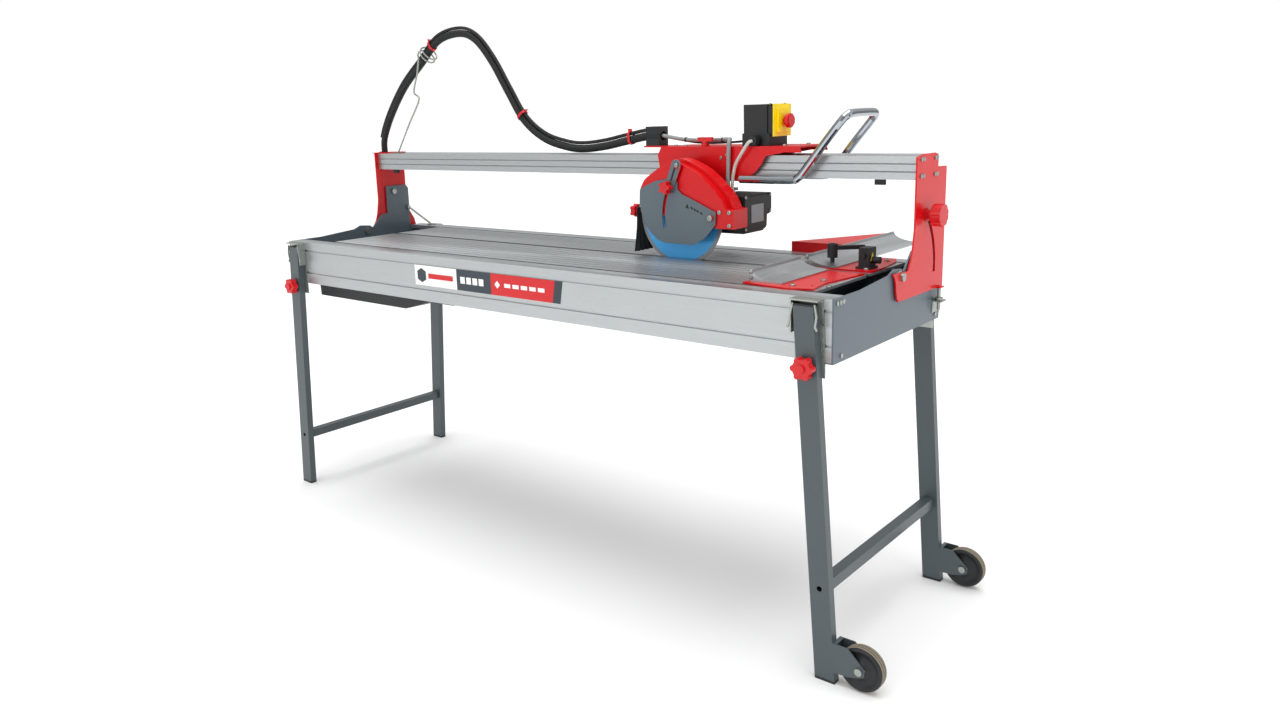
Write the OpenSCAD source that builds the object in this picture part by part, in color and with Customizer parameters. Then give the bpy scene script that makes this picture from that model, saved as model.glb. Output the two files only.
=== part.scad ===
// Wet tile saw on folding wheeled legs: a bridge rail over an aluminium table carries a
// sliding head with a 250 mm blade. X runs along the rail towards the wheels, Y to the rear,
// Z up from the floor. The origin is on the floor under the middle of the overall box.

/* [Frame and table] */
// length of the frame over its end plates
frame_length = 1900; // [1400:10:2300]
// depth of the frame over its two side profiles
frame_depth = 530; // [480:5:640]
// height of the table surface above the floor
table_height = 805; // [650:5:950]
// height of the side profiles
profile_height = 128; // [110:1:150]
// thickness of the table panels
panel_thickness = 6; // [4:0.5:10]
// width of the blade slot between the table panels
slot_width = 18; // [16:1:30]
// thickness of the folded end plates
plate_thickness = 4; // [3:0.5:6]

/* [Blade and head] */
// diameter of the diamond blade
blade_diameter = 250; // [200:5:300]
// thickness of the cutting rim
rim_thickness = 2.6; // [1.6:0.1:3.2]
// how far the blade dips below the table surface
blade_dip = 16; // [8:1:20]
// distance of the blade plane behind the middle of the frame
blade_plane = 28; // [0:1:40]
// position of the blade centre along the rail, from the middle of the frame
head_position = 374; // [-400:1:480]
// radius of the motor housing
motor_radius = 50; // [42:1:54]

/* [Rail and bridge] */
// width of the rail across its top
rail_width = 100; // [80:1:120]
// height of the rail section
rail_height = 52; // [44:1:64]
// distance of the rail's middle behind the middle of the frame
rail_centre = 154; // [148:1:160]
// space over the blade's centre height and radius to the underside of the rail
rail_gap = 92; // [90:1:120]
// radius of the tilt lock slots in the columns
lock_radius = 173; // [165:1:176]

/* [Legs and wheels] */
// width of the leg tube as seen from the front
leg_width = 45; // [35:1:55]
// depth of the leg tube from front to rear
leg_thickness = 20; // [16:1:28]
// outward lean of the legs for each millimetre of height
leg_lean = 0.075; // [0.04:0.005:0.1]
// distance of a foot's middle outside the end of the frame
foot_reach = 4; // [0:1:20]
// diameter of the transport wheels
wheel_diameter = 96; // [80:1:110]
// width of the transport wheels
wheel_width = 26; // [20:1:30]

/* [Handle and hoses] */
// outer diameter of the chrome push handle
handle_diameter = 19; // [16:1:22]
// outer diameter of the main hose of the loom
loom_diameter = 22; // [16:1:26]
// outer diameter of the small tube strapped to the loom
side_tube_diameter = 10; // [6:1:12]

/* [Stops and laser] */
// height of the fence wall above its base plate
fence_height = 27; // [18:1:29]
// length of the rear fence behind the blade
rear_fence_length = 465; // [300:5:520]
// diameter of the tilt lock knobs
tilt_knob_diameter = 50; // [40:1:60]
// diameter of the leg knobs
leg_knob_diameter = 48; // [40:1:60]

/* [Hidden] */
$fn = 48;
half_l = frame_length / 2;
half_d = frame_depth / 2;
zt = table_height;
zb = zt - profile_height;
blade_r = blade_diameter / 2;
blade_z = zt - blade_dip + blade_r;
bx = head_position;
by = blade_plane;
rail_y0 = rail_centre - rail_width / 2;
rail_y1 = rail_centre + rail_width / 2;
rail_z0 = blade_z + rail_gap;
rail_z1 = rail_z0 + rail_height;
column_x = half_l + 3;
column_t = 4;
lock_y = by + lock_radius * cos(45);
lock_z = zt + lock_radius * sin(45);
saddle_gap = 12;
saddle_t = 4;
saddle_y0 = rail_y0 - saddle_gap - saddle_t;
saddle_y1 = rail_y1 + saddle_gap + saddle_t;
saddle_top = rail_z1 + 22;
saddle_low = rail_z0 - 21;
hinge_x = bx - 169;
hinge_z = rail_z0 - 34;
guard_y0 = by - 34;
guard_y1 = by + 26;
cover_y0 = guard_y0 - 5.5;
cover_y1 = guard_y0 - 3;
pivot_x = bx + 117;
pivot_z = blade_z + 1;
cover_slot_r = 142;
leg_y0 = half_d + 3;
leg_y1 = leg_y0 + leg_thickness;
leg_top = zt - 15;
leg_foot_x = half_l + foot_reach;
leg_pivot_z = zt - 136;
wheel_r = wheel_diameter / 2;
wheel_x = leg_foot_x + 76;
wheel_z = wheel_r + 2;
fork_w = wheel_width + 10;
loom_r = loom_diameter / 2;
side_r = side_tube_diameter / 2;
handle_r = handle_diameter / 2;
handle_y0 = saddle_y0 - handle_r - 2;
handle_y1 = saddle_y1 + handle_r + 2;
base_t = 4;
fence_x = bx + 343;
fence_y0 = -half_d + 70;
fence_y1 = by + slot_width / 2 + 7;
box_x0 = -half_l - 46;
box_x1 = wheel_x + wheel_r;
box_y0 = -leg_y1 - 27;
box_y1 = fence_y1 + rear_fence_length;
loom_loop_z = rail_z1 + 366;

grey = [0.32, 0.37, 0.4];
silver = [0.78, 0.79, 0.79];
red = [0.91, 0.11, 0.14];
black = [0.06, 0.06, 0.06];
zinc = [0.7, 0.73, 0.7];

// ---- placing and shape helpers ----
module placed() {
    translate([-(box_x0 + box_x1) / 2, -(box_y0 + box_y1) / 2, 0]) children();
}
module slab_x(x0, x1) {
    translate([x0, 0, 0]) rotate([90, 0, 90]) linear_extrude(height = x1 - x0) children();
}
module slab_y(y0, y1) {
    translate([0, y1, 0]) rotate([90, 0, 0]) linear_extrude(height = y1 - y0) children();
}
module slab_z(z0, z1) {
    translate([0, 0, z0]) linear_extrude(height = z1 - z0) children();
}
module block(x0, x1, y0, y1, z0, z1) {
    translate([x0, y0, z0]) cube([x1 - x0, y1 - y0, z1 - z0]);
}
module rod_x(x0, x1, y, z, r) {
    translate([x0, y, z]) rotate([0, 90, 0]) cylinder(r = r, h = x1 - x0);
}
module rod_y(y0, y1, x, z, r) {
    translate([x, y1, z]) rotate([90, 0, 0]) cylinder(r = r, h = y1 - y0);
}
module rod_z(z0, z1, x, y, r) {
    translate([x, y, z0]) cylinder(r = r, h = z1 - z0);
}
module both_ends() {
    children();
    mirror([1, 0, 0]) children();
}
module both_sides() {
    children();
    mirror([0, 1, 0]) children();
}
function arc(cx, cy, r, a0, a1, n) =
    [for (i = [0 : n]) [cx + r * cos(a0 + (a1 - a0) * i / n), cy + r * sin(a0 + (a1 - a0) * i / n)]];

// ---- swept tubes along smooth routes ----
function unit(v) = v / norm(v);
function curve(a, b, c, d, t) = 0.5 * (2 * b + (c - a) * t + (2 * a - 5 * b + 4 * c - d) * t * t
    + (3 * b - a - 3 * c + d) * t * t * t);
function smooth(p, k) = concat(
    [for (i = [0 : len(p) - 2]) for (j = [0 : k - 1])
        curve(p[max(i - 1, 0)], p[i], p[i + 1], p[min(i + 2, len(p) - 1)], j / k)],
    [p[len(p) - 1]]);
function heading(p, i) = unit(p[min(i + 1, len(p) - 1)] - p[max(i - 1, 0)]);
function square_to(n, t) = unit(n - (n * t) * t);
function sides(p, i, n, acc) = i == len(p) ? acc :
    let (s = square_to(n, heading(p, i))) sides(p, i + 1, s, concat(acc, [s]));
function ring(c, t, n, r, m) = let (b = cross(t, n))
    [for (a = [0 : m - 1]) c + r * (cos(360 * a / m) * n + sin(360 * a / m) * b)];
module tube(p, r, m, up) {
    n = sides(p, 0, up, []);
    rings = [for (i = [0 : len(p) - 1]) for (q = ring(p[i], heading(p, i), n[i], r, m)) q];
    walls = [for (i = [0 : len(p) - 2]) for (a = [0 : m - 1]) for (h = [0, 1])
        h == 0 ? [i * m + a, (i + 1) * m + a, (i + 1) * m + (a + 1) % m]
               : [i * m + a, (i + 1) * m + (a + 1) % m, i * m + (a + 1) % m]];
    last = (len(p) - 1) * m;
    caps = [[for (a = [0 : m - 1]) a], [for (a = [0 : m - 1]) last + m - 1 - a]];
    polyhedron(points = rings, faces = concat(walls, caps));
}

// ---- frame: side profiles, end plates, cross members ----
profile_bosses = [[12, profile_height - 9.8], [25, profile_height - 9.8],
    [37, profile_height - 9.8], [32, 9.8]];
module profile_section() {
    h = profile_height;
    polygon([[0, 0], [0, 31], [4, 31], [4, 36], [1, 36], [1, h - 28], [4, h - 28], [4, h - 22],
        [0, h - 22], [0, h], [48, h], [48, h - 12], [44, h - 12], [44, h - 5], [5, h - 5],
        [5, h - 19], [9, h - 19], [9, h - 31], [5, h - 31], [5, 39], [9, 39], [9, 28], [5, 28],
        [5, 5], [40, 5], [40, 0]]);
}
module side_profile() {
    x1 = half_l - plate_thickness;
    difference() {
        union() {
            translate([0, -half_d, zb]) slab_x(-x1, x1) profile_section();
            for (b = profile_bosses) rod_x(-x1, x1, b[0] - half_d, zb + b[1], 5.2);
        }
        for (b = profile_bosses) rod_x(-x1 - 1, x1 + 1, b[0] - half_d, zb + b[1], 2.6);
    }
}
module front_profile() { placed() color(silver) side_profile(); }
module rear_profile() { placed() color(silver) mirror([0, 1, 0]) side_profile(); }

module end_plate() {
    x0 = half_l - plate_thickness;
    difference() {
        union() {
            slab_x(x0, half_l) polygon([[-half_d, zb], [-half_d, zt], [-150, zt], [by - 48, zt + 10],
                [by - 24, zt + 20], [by + 14, zt + 16], [by + 26, zt + 8], [by + 66, zt + 48],
                [by + 92, zt + 50], [by + 94, zt + 142], [by + 176, zt + 142],
                [by + 186, zt + 130], [by + 186, zt], [half_d, zt], [half_d, zb + 18],
                [half_d - 8, zb + 10], [half_d - 8, zb]]);
            block(x0 - 24, half_l, -half_d, half_d - 8, zb - 3, zb);
        }
        rod_x(x0 - 1, half_l + 1, by, zt, 6.05);
        rod_x(x0 - 1, half_l + 1, lock_y, lock_z, 5.05);
        for (s = [-1, 1]) for (b = profile_bosses)
            rod_x(x0 - 1, half_l + 1, s * (half_d - b[0]), zb + b[1], 3.1);
    }
}
module right_end_plate() { placed() color(grey) end_plate(); }
module left_end_plate() { placed() color(grey) mirror([1, 0, 0]) end_plate(); }

module cross_members() {
    wall = half_d - 5;
    low = zt - 70;
    pad = zt - panel_thickness;
    placed() color(grey) for (i = [-2 : 2]) slab_x(i * 0.4 * half_l - 15, i * 0.4 * half_l + 15)
        polygon([[-wall, low], [wall, low], [wall, low + 20], [half_d - 65, low + 20],
            [half_d - 65, pad], [by + 30, pad], [by + 30, low + 28], [by - 30, low + 28],
            [by - 30, pad], [65 - half_d, pad], [65 - half_d, low + 20], [-wall, low + 20]]);
}

module panel(y0, y1) {
    difference() {
        block(163 - half_l, half_l - 70, y0, y1, zt - panel_thickness, zt);
        for (i = [1 : 8]) block(162 - half_l, half_l - 69, y0 + i * (y1 - y0) / 9 - 1.5,
            y0 + i * (y1 - y0) / 9 + 1.5, zt - 1.2, zt + 1);
    }
}
module front_table() { placed() color(silver) panel(58 - half_d, by - slot_width / 2); }
module rear_table() { placed() color(silver) panel(by + slot_width / 2, half_d - 58); }

module pan_screw() {
    rod_x(-16, 0, 0, 0, 2.55);
    rod_x(0, 2.6, 0, 0, 5);
}
module frame_screws() {
    placed() color(zinc) both_ends() both_sides() for (b = profile_bosses)
        translate([half_l, b[0] - half_d, zb + b[1]]) pan_screw();
}

module tray_side(d, rim) {
    x = half_l - 75 - d;
    low = zt - 173 + d;
    polygon([[-x, rim], [7 - x, low], [-440 + d / 3, low], [-335 - d / 3, low + 30],
        [-228 - d / 3, low + 30], [-172 - d / 3, low + 52], [x, low + 56], [x, rim]]);
}
module water_tray() {
    y1 = half_d - 45;
    placed() color(black) difference() {
        union() {
            slab_y(-y1, y1) tray_side(0, zt - 70);
            block(60 - half_l, half_l - 60, -y1 - 20, y1 + 20, zt - 73, zt - 70);
        }
        slab_y(3.5 - y1, y1 - 3.5) tray_side(3.5, zt - 69);
    }
}
module water_pump() {
    placed() color(black) {
        rod_z(zt - 169.5, zt - 112, 310 - half_l, 90, 36);
        rod_z(zt - 112, zt - 98, 310 - half_l, 90, 12);
        rod_x(342 - half_l, 368 - half_l, 90, zt - 135, 9);
    }
}

// ---- leg brackets: zinc plates on the profile ends that carry the folding legs ----
leg_turn_x = leg_foot_x - leg_lean * leg_pivot_z;
module leg_bracket() {
    x0 = leg_turn_x - leg_width / 2 - 15.5;
    x1 = leg_turn_x + leg_width / 2 + 7.5;
    difference() {
        union() {
            slab_y(half_d, half_d + 2.7)
                polygon([[x0, zt - 160], [x0, zt - 1], [x1 - 6, zt - 1], [x1, zb], [x1, zt - 160]]);
            block(x0, x1 - 6, half_d, leg_y1 + 3, zt - 4, zt - 1);
            block(x0, x0 + 3, half_d, leg_y1, zt - 70, zt - 1);
            rod_y(half_d - 6, half_d, leg_turn_x, leg_pivot_z, 7.5);
        }
        rod_y(half_d - 7, half_d + 4, leg_turn_x, leg_pivot_z, 5.1);
    }
}
module leg_brackets() { placed() color(zinc) both_ends() both_sides() leg_bracket(); }

// ---- legs ----
function leg_x(z) = leg_foot_x - leg_lean * z;
module leg_outline(d, z0, z1) {
    w = leg_width / 2 - d;
    polygon([[leg_x(z0) - w, z0], [leg_x(z0) + w, z0], [leg_x(z1) + w, z1], [leg_x(z1) - w, z1]]);
}
module cross_bar(z, half, y) {
    block(leg_x(z) - half, leg_x(z) + half, -y, y, z - half, z + half);
}
module leg_frame(bar_z) {
    difference() {
        union() {
            both_sides() difference() {
                slab_y(leg_y0, leg_y1) leg_outline(0, 6, leg_top);
                slab_y(leg_y0 + 2, leg_y1 - 2) leg_outline(2, 5, leg_top + 1);
                rod_y(leg_y1 - 4, leg_y1 + 2, leg_x(bar_z), bar_z, 6);
            }
            cross_bar(bar_z, 12.5, leg_y0 + 1);
        }
        cross_bar(bar_z, 10.5, leg_y0 + 2);
        both_sides() rod_y(leg_y0 - 1, leg_y1 + 1, leg_turn_x, leg_pivot_z, 5.08);
    }
}
module right_legs() { placed() color(grey) leg_frame(204); }
module left_legs() { placed() color(grey) mirror([1, 0, 0]) leg_frame(168); }
module leg_caps() {
    both_sides() {
        slab_y(leg_y0 + 2.2, leg_y1 - 2.2) leg_outline(2.2, 5, 26);
        slab_y(leg_y0, leg_y1) leg_outline(0, 0, 6);
        slab_y(leg_y0, leg_y1) leg_outline(0, leg_top, leg_top + 4);
        slab_y(leg_y0 + 2.2, leg_y1 - 2.2) leg_outline(2.2, leg_top - 20, leg_top + 1);
    }
}
module right_caps() { placed() color(black) leg_caps(); }
module left_caps() { placed() color(black) mirror([1, 0, 0]) leg_caps(); }

// ---- wheels on forks welded to the outside of the right-hand legs ----
module fork_side() {
    polygon([[leg_x(28) + leg_width / 2, 28], [leg_x(92) + leg_width / 2, 92],
        [wheel_x - 26, 92], [wheel_x + 13, wheel_z + 6], [wheel_x + 11, wheel_z - 10],
        [wheel_x, wheel_z - 15], [wheel_x - 26, 28]]);
}
module fork() {
    difference() {
        union() {
            slab_y(0, 2.5) fork_side();
            slab_y(fork_w - 2.5, fork_w) fork_side();
            slab_y(0, fork_w) polygon([[leg_x(28) + leg_width / 2, 28],
                [leg_x(92) + leg_width / 2, 92], [leg_x(92) + leg_width / 2 + 2.5, 92],
                [leg_x(28) + leg_width / 2 + 2.5, 28]]);
            slab_y(0, fork_w) polygon([[leg_x(92) + leg_width / 2, 92],
                [leg_x(89.5) + leg_width / 2, 89.5], [leg_x(89.5) + leg_width / 2 + 9, 89.5],
                [leg_x(92) + leg_width / 2 + 9, 92]]);
        }
        rod_y(-1, fork_w + 1, wheel_x, wheel_z, 5.06);
    }
}
module wheel() {
    y0 = (fork_w - wheel_width) / 2;
    difference() {
        union() {
            difference() {
                rod_y(y0, y0 + wheel_width, wheel_x, wheel_z, wheel_r);
                rod_y(y0 - 1, y0 + 4, wheel_x, wheel_z, wheel_r - 9);
                rod_y(y0 + wheel_width - 4, y0 + wheel_width + 1, wheel_x, wheel_z, wheel_r - 9);
            }
            rod_y(y0 - 1.5, y0 + wheel_width + 1.5, wheel_x, wheel_z, 12);
        }
        rod_y(0, fork_w, wheel_x, wheel_z, 5.06);
    }
}
module wheel_forks() {
    placed() color(grey) for (y = [-leg_y1, leg_y0]) translate([0, y, 0]) fork();
}
module front_wheel() { placed() color(black) translate([0, -leg_y1, 0]) wheel(); }
module rear_wheel() { placed() color(black) translate([0, leg_y0, 0]) wheel(); }
module wheel_axles() {
    placed() color(zinc) for (y = [-leg_y1, leg_y0]) translate([0, y, 0]) {
        rod_y(-0.5, fork_w + 0.5, wheel_x, wheel_z, 5);
        rod_y(-5, 0, wheel_x, wheel_z, 8);
        rod_y(fork_w, fork_w + 5, wheel_x, wheel_z, 8);
    }
}

// ---- leg knobs: six-lobed grips on a stud through the leg and its bracket ----
module leg_knob() {
    r = leg_knob_diameter / 2;
    y0 = leg_y1 + 5;
    rod_y(half_d - 4, y0 + 4, leg_turn_x, leg_pivot_z, 5);
    rod_y(leg_y1 + 0.2, y0, leg_turn_x, leg_pivot_z, 10);
    rod_y(y0, y0 + 18, leg_turn_x, leg_pivot_z, r * 0.8);
    for (i = [0 : 5]) rod_y(y0, y0 + 18, leg_turn_x + r * 0.74 * cos(60 * i),
        leg_pivot_z + r * 0.74 * sin(60 * i), r * 0.26);
    rod_y(y0 + 18, y0 + 22, leg_turn_x, leg_pivot_z, 9);
}
module rear_right_knob() { placed() color(red) leg_knob(); }
module rear_left_knob() { placed() color(red) mirror([1, 0, 0]) leg_knob(); }
module front_right_knob() { placed() color(red) mirror([0, 1, 0]) leg_knob(); }
module front_left_knob() { placed() color(red) mirror([1, 0, 0]) mirror([0, 1, 0]) leg_knob(); }

// ---- stops at the right end: base plates, fences, brace wing, laser, clamp lever ----
gap_y0 = by - slot_width / 2 - 7;
module stop_base() {
    placed() color(red) difference() {
        union() {
            slab_z(zt, zt + base_t) polygon([[fence_x - 12, fence_y0 - 12],
                [fence_x + 100, fence_y0 - 26], [half_l - 78, fence_y0 - 10],
                [half_l - 90, fence_y0 + 60], [half_l - 71, gap_y0],
                [fence_x - 12, gap_y0]]);
            slab_z(zt, zt + base_t) polygon([[fence_x - 12, fence_y1], [half_l - 71, fence_y1],
                [half_l - 71, fence_y1 + 70], [half_l - 84, half_d - 62],
                [half_l - 100, half_d - 26], [fence_x - 12, half_d - 26]]);
        }
        for (p = stop_bolts) rod_z(zt - 1, zt + base_t + 1, p[0], p[1], 3.1);
    }
}
stop_bolts = [[fence_x + 103, fence_y0 + 2], [half_l - 98, fence_y0 + 22],
    [half_l - 96, gap_y0 - 50], [half_l - 84, fence_y1 + 20], [half_l - 96, fence_y1 + 150]];
module fence_section() {
    h = fence_height;
    z = zt + base_t;
    polygon(concat([[0, z], [0, z + h]], [for (a = [0 : 15 : 90])
        [64 - 60 * cos(a), z + h - (h - 4) * sin(a)]], [[76, z + 3], [76, z]]));
}
module fence_bar(y0, y1) {
    translate([fence_x, 0, 0]) slab_y(y0, y1) fence_section();
}
module front_fence() { placed() color(silver) fence_bar(fence_y0, gap_y0); }
module rear_fence() {
    placed() color(silver) difference() {
        fence_bar(fence_y1, fence_y1 + rear_fence_length);
        rod_z(zt, zt + 60, fence_x + 40, fence_y1 + 52, 5.1);
    }
}
module support_wing() {
    y0 = half_d - 8;
    z = zt;
    placed() color(red) {
        block(fence_x - 160, fence_x - 0.5, y0, y0 + 2.5, z, z + 26);
        slab_z(z + 23.5, z + 26) polygon([[fence_x - 160, y0], [fence_x - 0.5, y0],
            [fence_x - 0.5, fence_y1 + rear_fence_length - 6],
            [fence_x - 20, fence_y1 + rear_fence_length - 6]]);
    }
}
module laser_module() {
    x0 = fence_x + 121;
    y0 = fence_y1 + 18;
    z0 = zt + base_t;
    placed() color(black) {
        block(x0 - 6, x0 + 30, y0, y0 + 38, z0, z0 + 5);
        block(x0, x0 + 26, y0 + 2, y0 + 36, z0 + 5, z0 + 48);
        rod_y(y0 - 3, y0 + 2, x0 + 12, z0 + 30, 6);
        rod_x(x0 + 26, x0 + 44, y0 + 20, z0 + 20, 8);
    }
}
module clamp_lever() {
    x = fence_x + 40;
    y = fence_y1 + 52;
    z = zt + base_t + 14;
    placed() color(black) {
        rod_z(zt + base_t, z + 2, x, y, 5);
        difference() {
            rod_z(z + 2, z + 34, x, y, 12);
            rod_z(z + 28, z + 35, x, y, 6);
        }
        slab_z(z + 20, z + 29) polygon([[x + 4, y - 8], [x + 52, y + 36], [x + 58, y + 48],
            [x + 46, y + 46], [x - 2, y + 9]]);
    }
}

// ---- tilt pivots and locks ----
module tilt_bolts() {
    placed() color(zinc) both_ends() {
        rod_x(half_l - 12, column_x + column_t + 1, by, zt, 6);
        rod_x(half_l - 12, half_l - plate_thickness, by, zt, 10);
        rod_x(half_l, column_x - 0.05, by, zt, 14);
        rod_x(column_x + column_t + 0.05, column_x + column_t + 6, by, zt, 9);
        rod_x(half_l - 11, half_l + 44, lock_y, lock_z, 5);
        rod_x(half_l - 11, half_l - plate_thickness, lock_y, lock_z, 9);
        rod_x(half_l, column_x - 0.05, lock_y, lock_z, 13);
    }
}
module tilt_knob() {
    x0 = column_x + column_t + 0.1;
    r = tilt_knob_diameter / 2;
    difference() {
        union() {
            rod_x(x0, x0 + 3, lock_y, lock_z, 15);
            rod_x(x0 + 3, x0 + 16, lock_y, lock_z, 11);
            rod_x(x0 + 16, half_l + 46, lock_y, lock_z, r);
        }
        rod_x(x0 - 1, half_l + 44.3, lock_y, lock_z, 5.06);
        for (i = [0 : 9]) rod_x(x0 + 15, half_l + 47, lock_y + (r + 2) * cos(36 * i),
            lock_z + (r + 2) * sin(36 * i), 4);
    }
}
module right_tilt_knob() { placed() color(red) tilt_knob(); }
module left_tilt_knob() { placed() color(red) mirror([1, 0, 0]) tilt_knob(); }
module riser_brace() {
    xi = half_l - plate_thickness;
    a = [6 - xi, by + 181, zt + 62];
    b = [75 - xi, half_d - 20, zt + 3.4];
    placed() color(zinc) {
        tube([a, b], 3.5, 12, [0, 0, 1]);
        rod_x(-xi, 9 - xi, by + 178, zt + 64, 6);
        block(66 - xi, 90 - xi, half_d - 32, half_d - 10, zt, zt + 2.5);
    }
}
module tilt_stops() {
    y = by + 197;
    placed() color(zinc) both_ends() {
        difference() {
            union() {
                block(half_l, half_l + 2.5, y - 14, y + 14, zt - 112, zt - 82);
                block(half_l, half_l + 24, y - 14, y + 14, zt - 85, zt - 82);
            }
            rod_z(zt - 86, zt - 81, column_x + 9, y, 4.1);
        }
        rod_z(zt - 104, zt - 53.05, column_x + 9, y, 4);
        rod_z(zt - 82, zt - 76, column_x + 9, y, 9);
    }
}

// ---- bridge: rail and its two tilting columns ----
rail_bosses = [[6.5, 8], [6.5, rail_height - 8], [18, 8], [18, rail_height - 8],
    [rail_width - 18, 8], [rail_width - 18, rail_height - 8], [rail_width - 6.5, 8],
    [rail_width - 6.5, rail_height - 8]];
module rail() {
    w = rail_width;
    h = rail_height;
    placed() color(silver) translate([0, rail_y0, rail_z0]) difference() {
        union() {
            difference() {
                slab_x(-column_x, column_x) polygon([[0, 0], [0, 0.3 * h], [2, 0.33 * h],
                    [0, 0.36 * h], [0, 0.63 * h], [2, 0.66 * h], [0, 0.69 * h], [0, h], [w, h],
                    [w, 0.69 * h], [w - 2, 0.66 * h], [w, 0.63 * h], [w, 0.36 * h],
                    [w - 2, 0.33 * h], [w, 0.3 * h], [w, 0]]);
                for (s = [0 : 2]) block(-column_x - 1, column_x + 1, 4 + s * (w - 5) / 3,
                    s * (w - 5) / 3 + (w - 5) / 3 + 1, 4, h - 4);
            }
            for (b = rail_bosses) rod_x(-column_x, column_x, b[0], b[1], 5);
        }
        for (b = rail_bosses) rod_x(-column_x - 1, column_x + 1, b[0], b[1], 2.6);
    }
}
module lock_slot() {
    polygon(concat(arc(by, zt, lock_radius + 6, 49, -4, 18), arc(by, zt, lock_radius - 6, -4, 49, 18)));
}
module column_plate(outline) {
    difference() {
        slab_x(column_x, column_x + column_t) difference() {
            polygon(outline);
            lock_slot();
        }
        rod_x(column_x - 1, column_x + column_t + 1, by, zt, 6.06);
        for (b = rail_bosses) rod_x(column_x - 1, column_x + column_t + 1, rail_y0 + b[0],
            rail_z0 + b[1], 3.1);
    }
}
front_edge = rail_y0 - 13;
toe = [[by + 34, zt + 8], [by - 42, zt + 12], [by - 34, zt + 2], [by - 28, zt - 12],
    [by - 26, zt - 28], [by - 22, zt - 42], [by - 14, zt - 52]];
column_foot = [[by + 180, zt - 53], [by + 226, zt - 53]];
module column_tab() {
    block(column_x, column_x + column_t + 12, by + 186, by + 208, zt - 53, zt - 50);
}
module right_column() {
    placed() color(red) {
        column_plate(concat([[front_edge, rail_z1 - 2], [front_edge, zt + 96], [front_edge - 8, zt + 52],
            [front_edge - 15, zt + 31]], toe, column_foot,
            [[by + 226, rail_z0 + 22], [rail_y1 + 1, rail_z0 + 24],
            [rail_y1 + 1, rail_z1 - 1], [rail_y1 - 16, rail_z1 + 3], [rail_y0 + 16, rail_z1 + 3]]));
        column_tab();
    }
}
module left_column() {
    placed() color(red) mirror([1, 0, 0]) {
        column_plate(concat([[front_edge, rail_z1 + 3], [front_edge, zt + 96], [front_edge - 8, zt + 52],
            [front_edge - 15, zt + 31]], toe, column_foot,
            [[by + 210, zt + 20], [rail_y1 + 6, zt + 66],
            [rail_y1 + 6, rail_z1 + 3]]));
        column_tab();
        block(column_x - 30, column_x + 43, rail_y0 + 8, rail_y1 - 6, rail_z1, rail_z1 + 3);
        difference() {
            rod_y(rail_y0 + 28, rail_y0 + 31, column_x + 24, rail_z1 - 10, 16);
            rod_y(rail_y0 + 27, rail_y0 + 32, column_x + 24, rail_z1 - 12, 5);
        }
        block(column_x, column_x + 24, rail_y0 + 28, rail_y0 + 31, rail_z1 - 26, rail_z1 + 1);
    }
}
module rail_screws() {
    placed() color(zinc) both_ends() for (b = rail_bosses)
        translate([column_x + column_t, rail_y0 + b[0], rail_z0 + b[1]]) pan_screw();
}
module rail_bumpers() {
    placed() color(black) both_ends() {
        block(half_l - 97, half_l - 73, rail_y0, rail_y0 + 8, rail_z0 - 12, rail_z0);
        rod_y(rail_y0 + 8, rail_y0 + 10, half_l - 85, rail_z0 - 7, 4);
    }
}

// ---- hose loom from the left column over the rail to the carriage ----
loom_route = [[-column_x - 28, rail_centre, rail_z1 + 3.3], [-column_x - 22, rail_centre, rail_z1 + 50],
    [22 - half_l, rail_centre, rail_z1 + 125],
    [105 - half_l, rail_centre, rail_z1 + 215], [204 - half_l, rail_centre, rail_z1 + 288],
    [290 - half_l, rail_centre, rail_z1 + 350], [391 - half_l, rail_centre, loom_loop_z],
    [464 - half_l, rail_centre, rail_z1 + 343], [531 - half_l, rail_centre, rail_z1 + 276],
    [595 - half_l, rail_centre, rail_z1 + 184], [658 - half_l, rail_centre, rail_z1 + 98],
    [739 - half_l, rail_centre, rail_z1 + 44], [830 - half_l, rail_centre, rail_z1 + 19],
    [bx - 426, rail_centre, rail_z1 + 14], [bx - 349, rail_centre, rail_z1 + 21],
    [bx - 275, rail_centre, rail_z1 + 34], [bx - 203, rail_centre, rail_z1 + 46],
    [bx - 150, rail_centre, rail_z1 + 48]];
function beside(p, d) = [for (i = [0 : len(p) - 1]) let (t = heading(p, i))
    p[i] + d * [-t[2], 0, t[0]]];
module hose_loom() {
    main = smooth(loom_route, 4);
    inner = [for (i = [7 : len(main) - 8]) main[i]];
    placed() color(black) {
        tube(main, loom_r, 12, [0, 1, 0]);
        tube(beside(inner, loom_r + side_r + 0.6), side_r, 8, [0, 1, 0]);
    }
}
wire_r = loom_r + side_tube_diameter + 7;
wire_route = [[80 - half_l, rail_centre - wire_r, rail_z1 + 2],
    [150 - half_l, rail_centre - wire_r, rail_z1 + 96],
    [209 - half_l, rail_centre - wire_r, rail_z1 + 172],
    [186 - half_l, rail_centre - wire_r, rail_z1 + 196],
    [208 - half_l, rail_centre - wire_r, rail_z1 + 250]];
wire_coil = [for (i = [0 : 30]) [222 - half_l + 0.8 * i - 0.6 * wire_r * sin(24 * i),
    rail_centre - wire_r * cos(24 * i), rail_z1 + 302 + 0.6 * i + 0.8 * wire_r * sin(24 * i)]];
module loom_support() {
    placed() color(zinc) {
        tube(concat(smooth(wire_route, 5), wire_coil), 2.6, 8, [0, 0, 1]);
        block(62 - half_l, 98 - half_l, rail_centre - wire_r - 12, rail_centre - wire_r + 12,
            rail_z1, rail_z1 + 2.5);
    }
}

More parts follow.
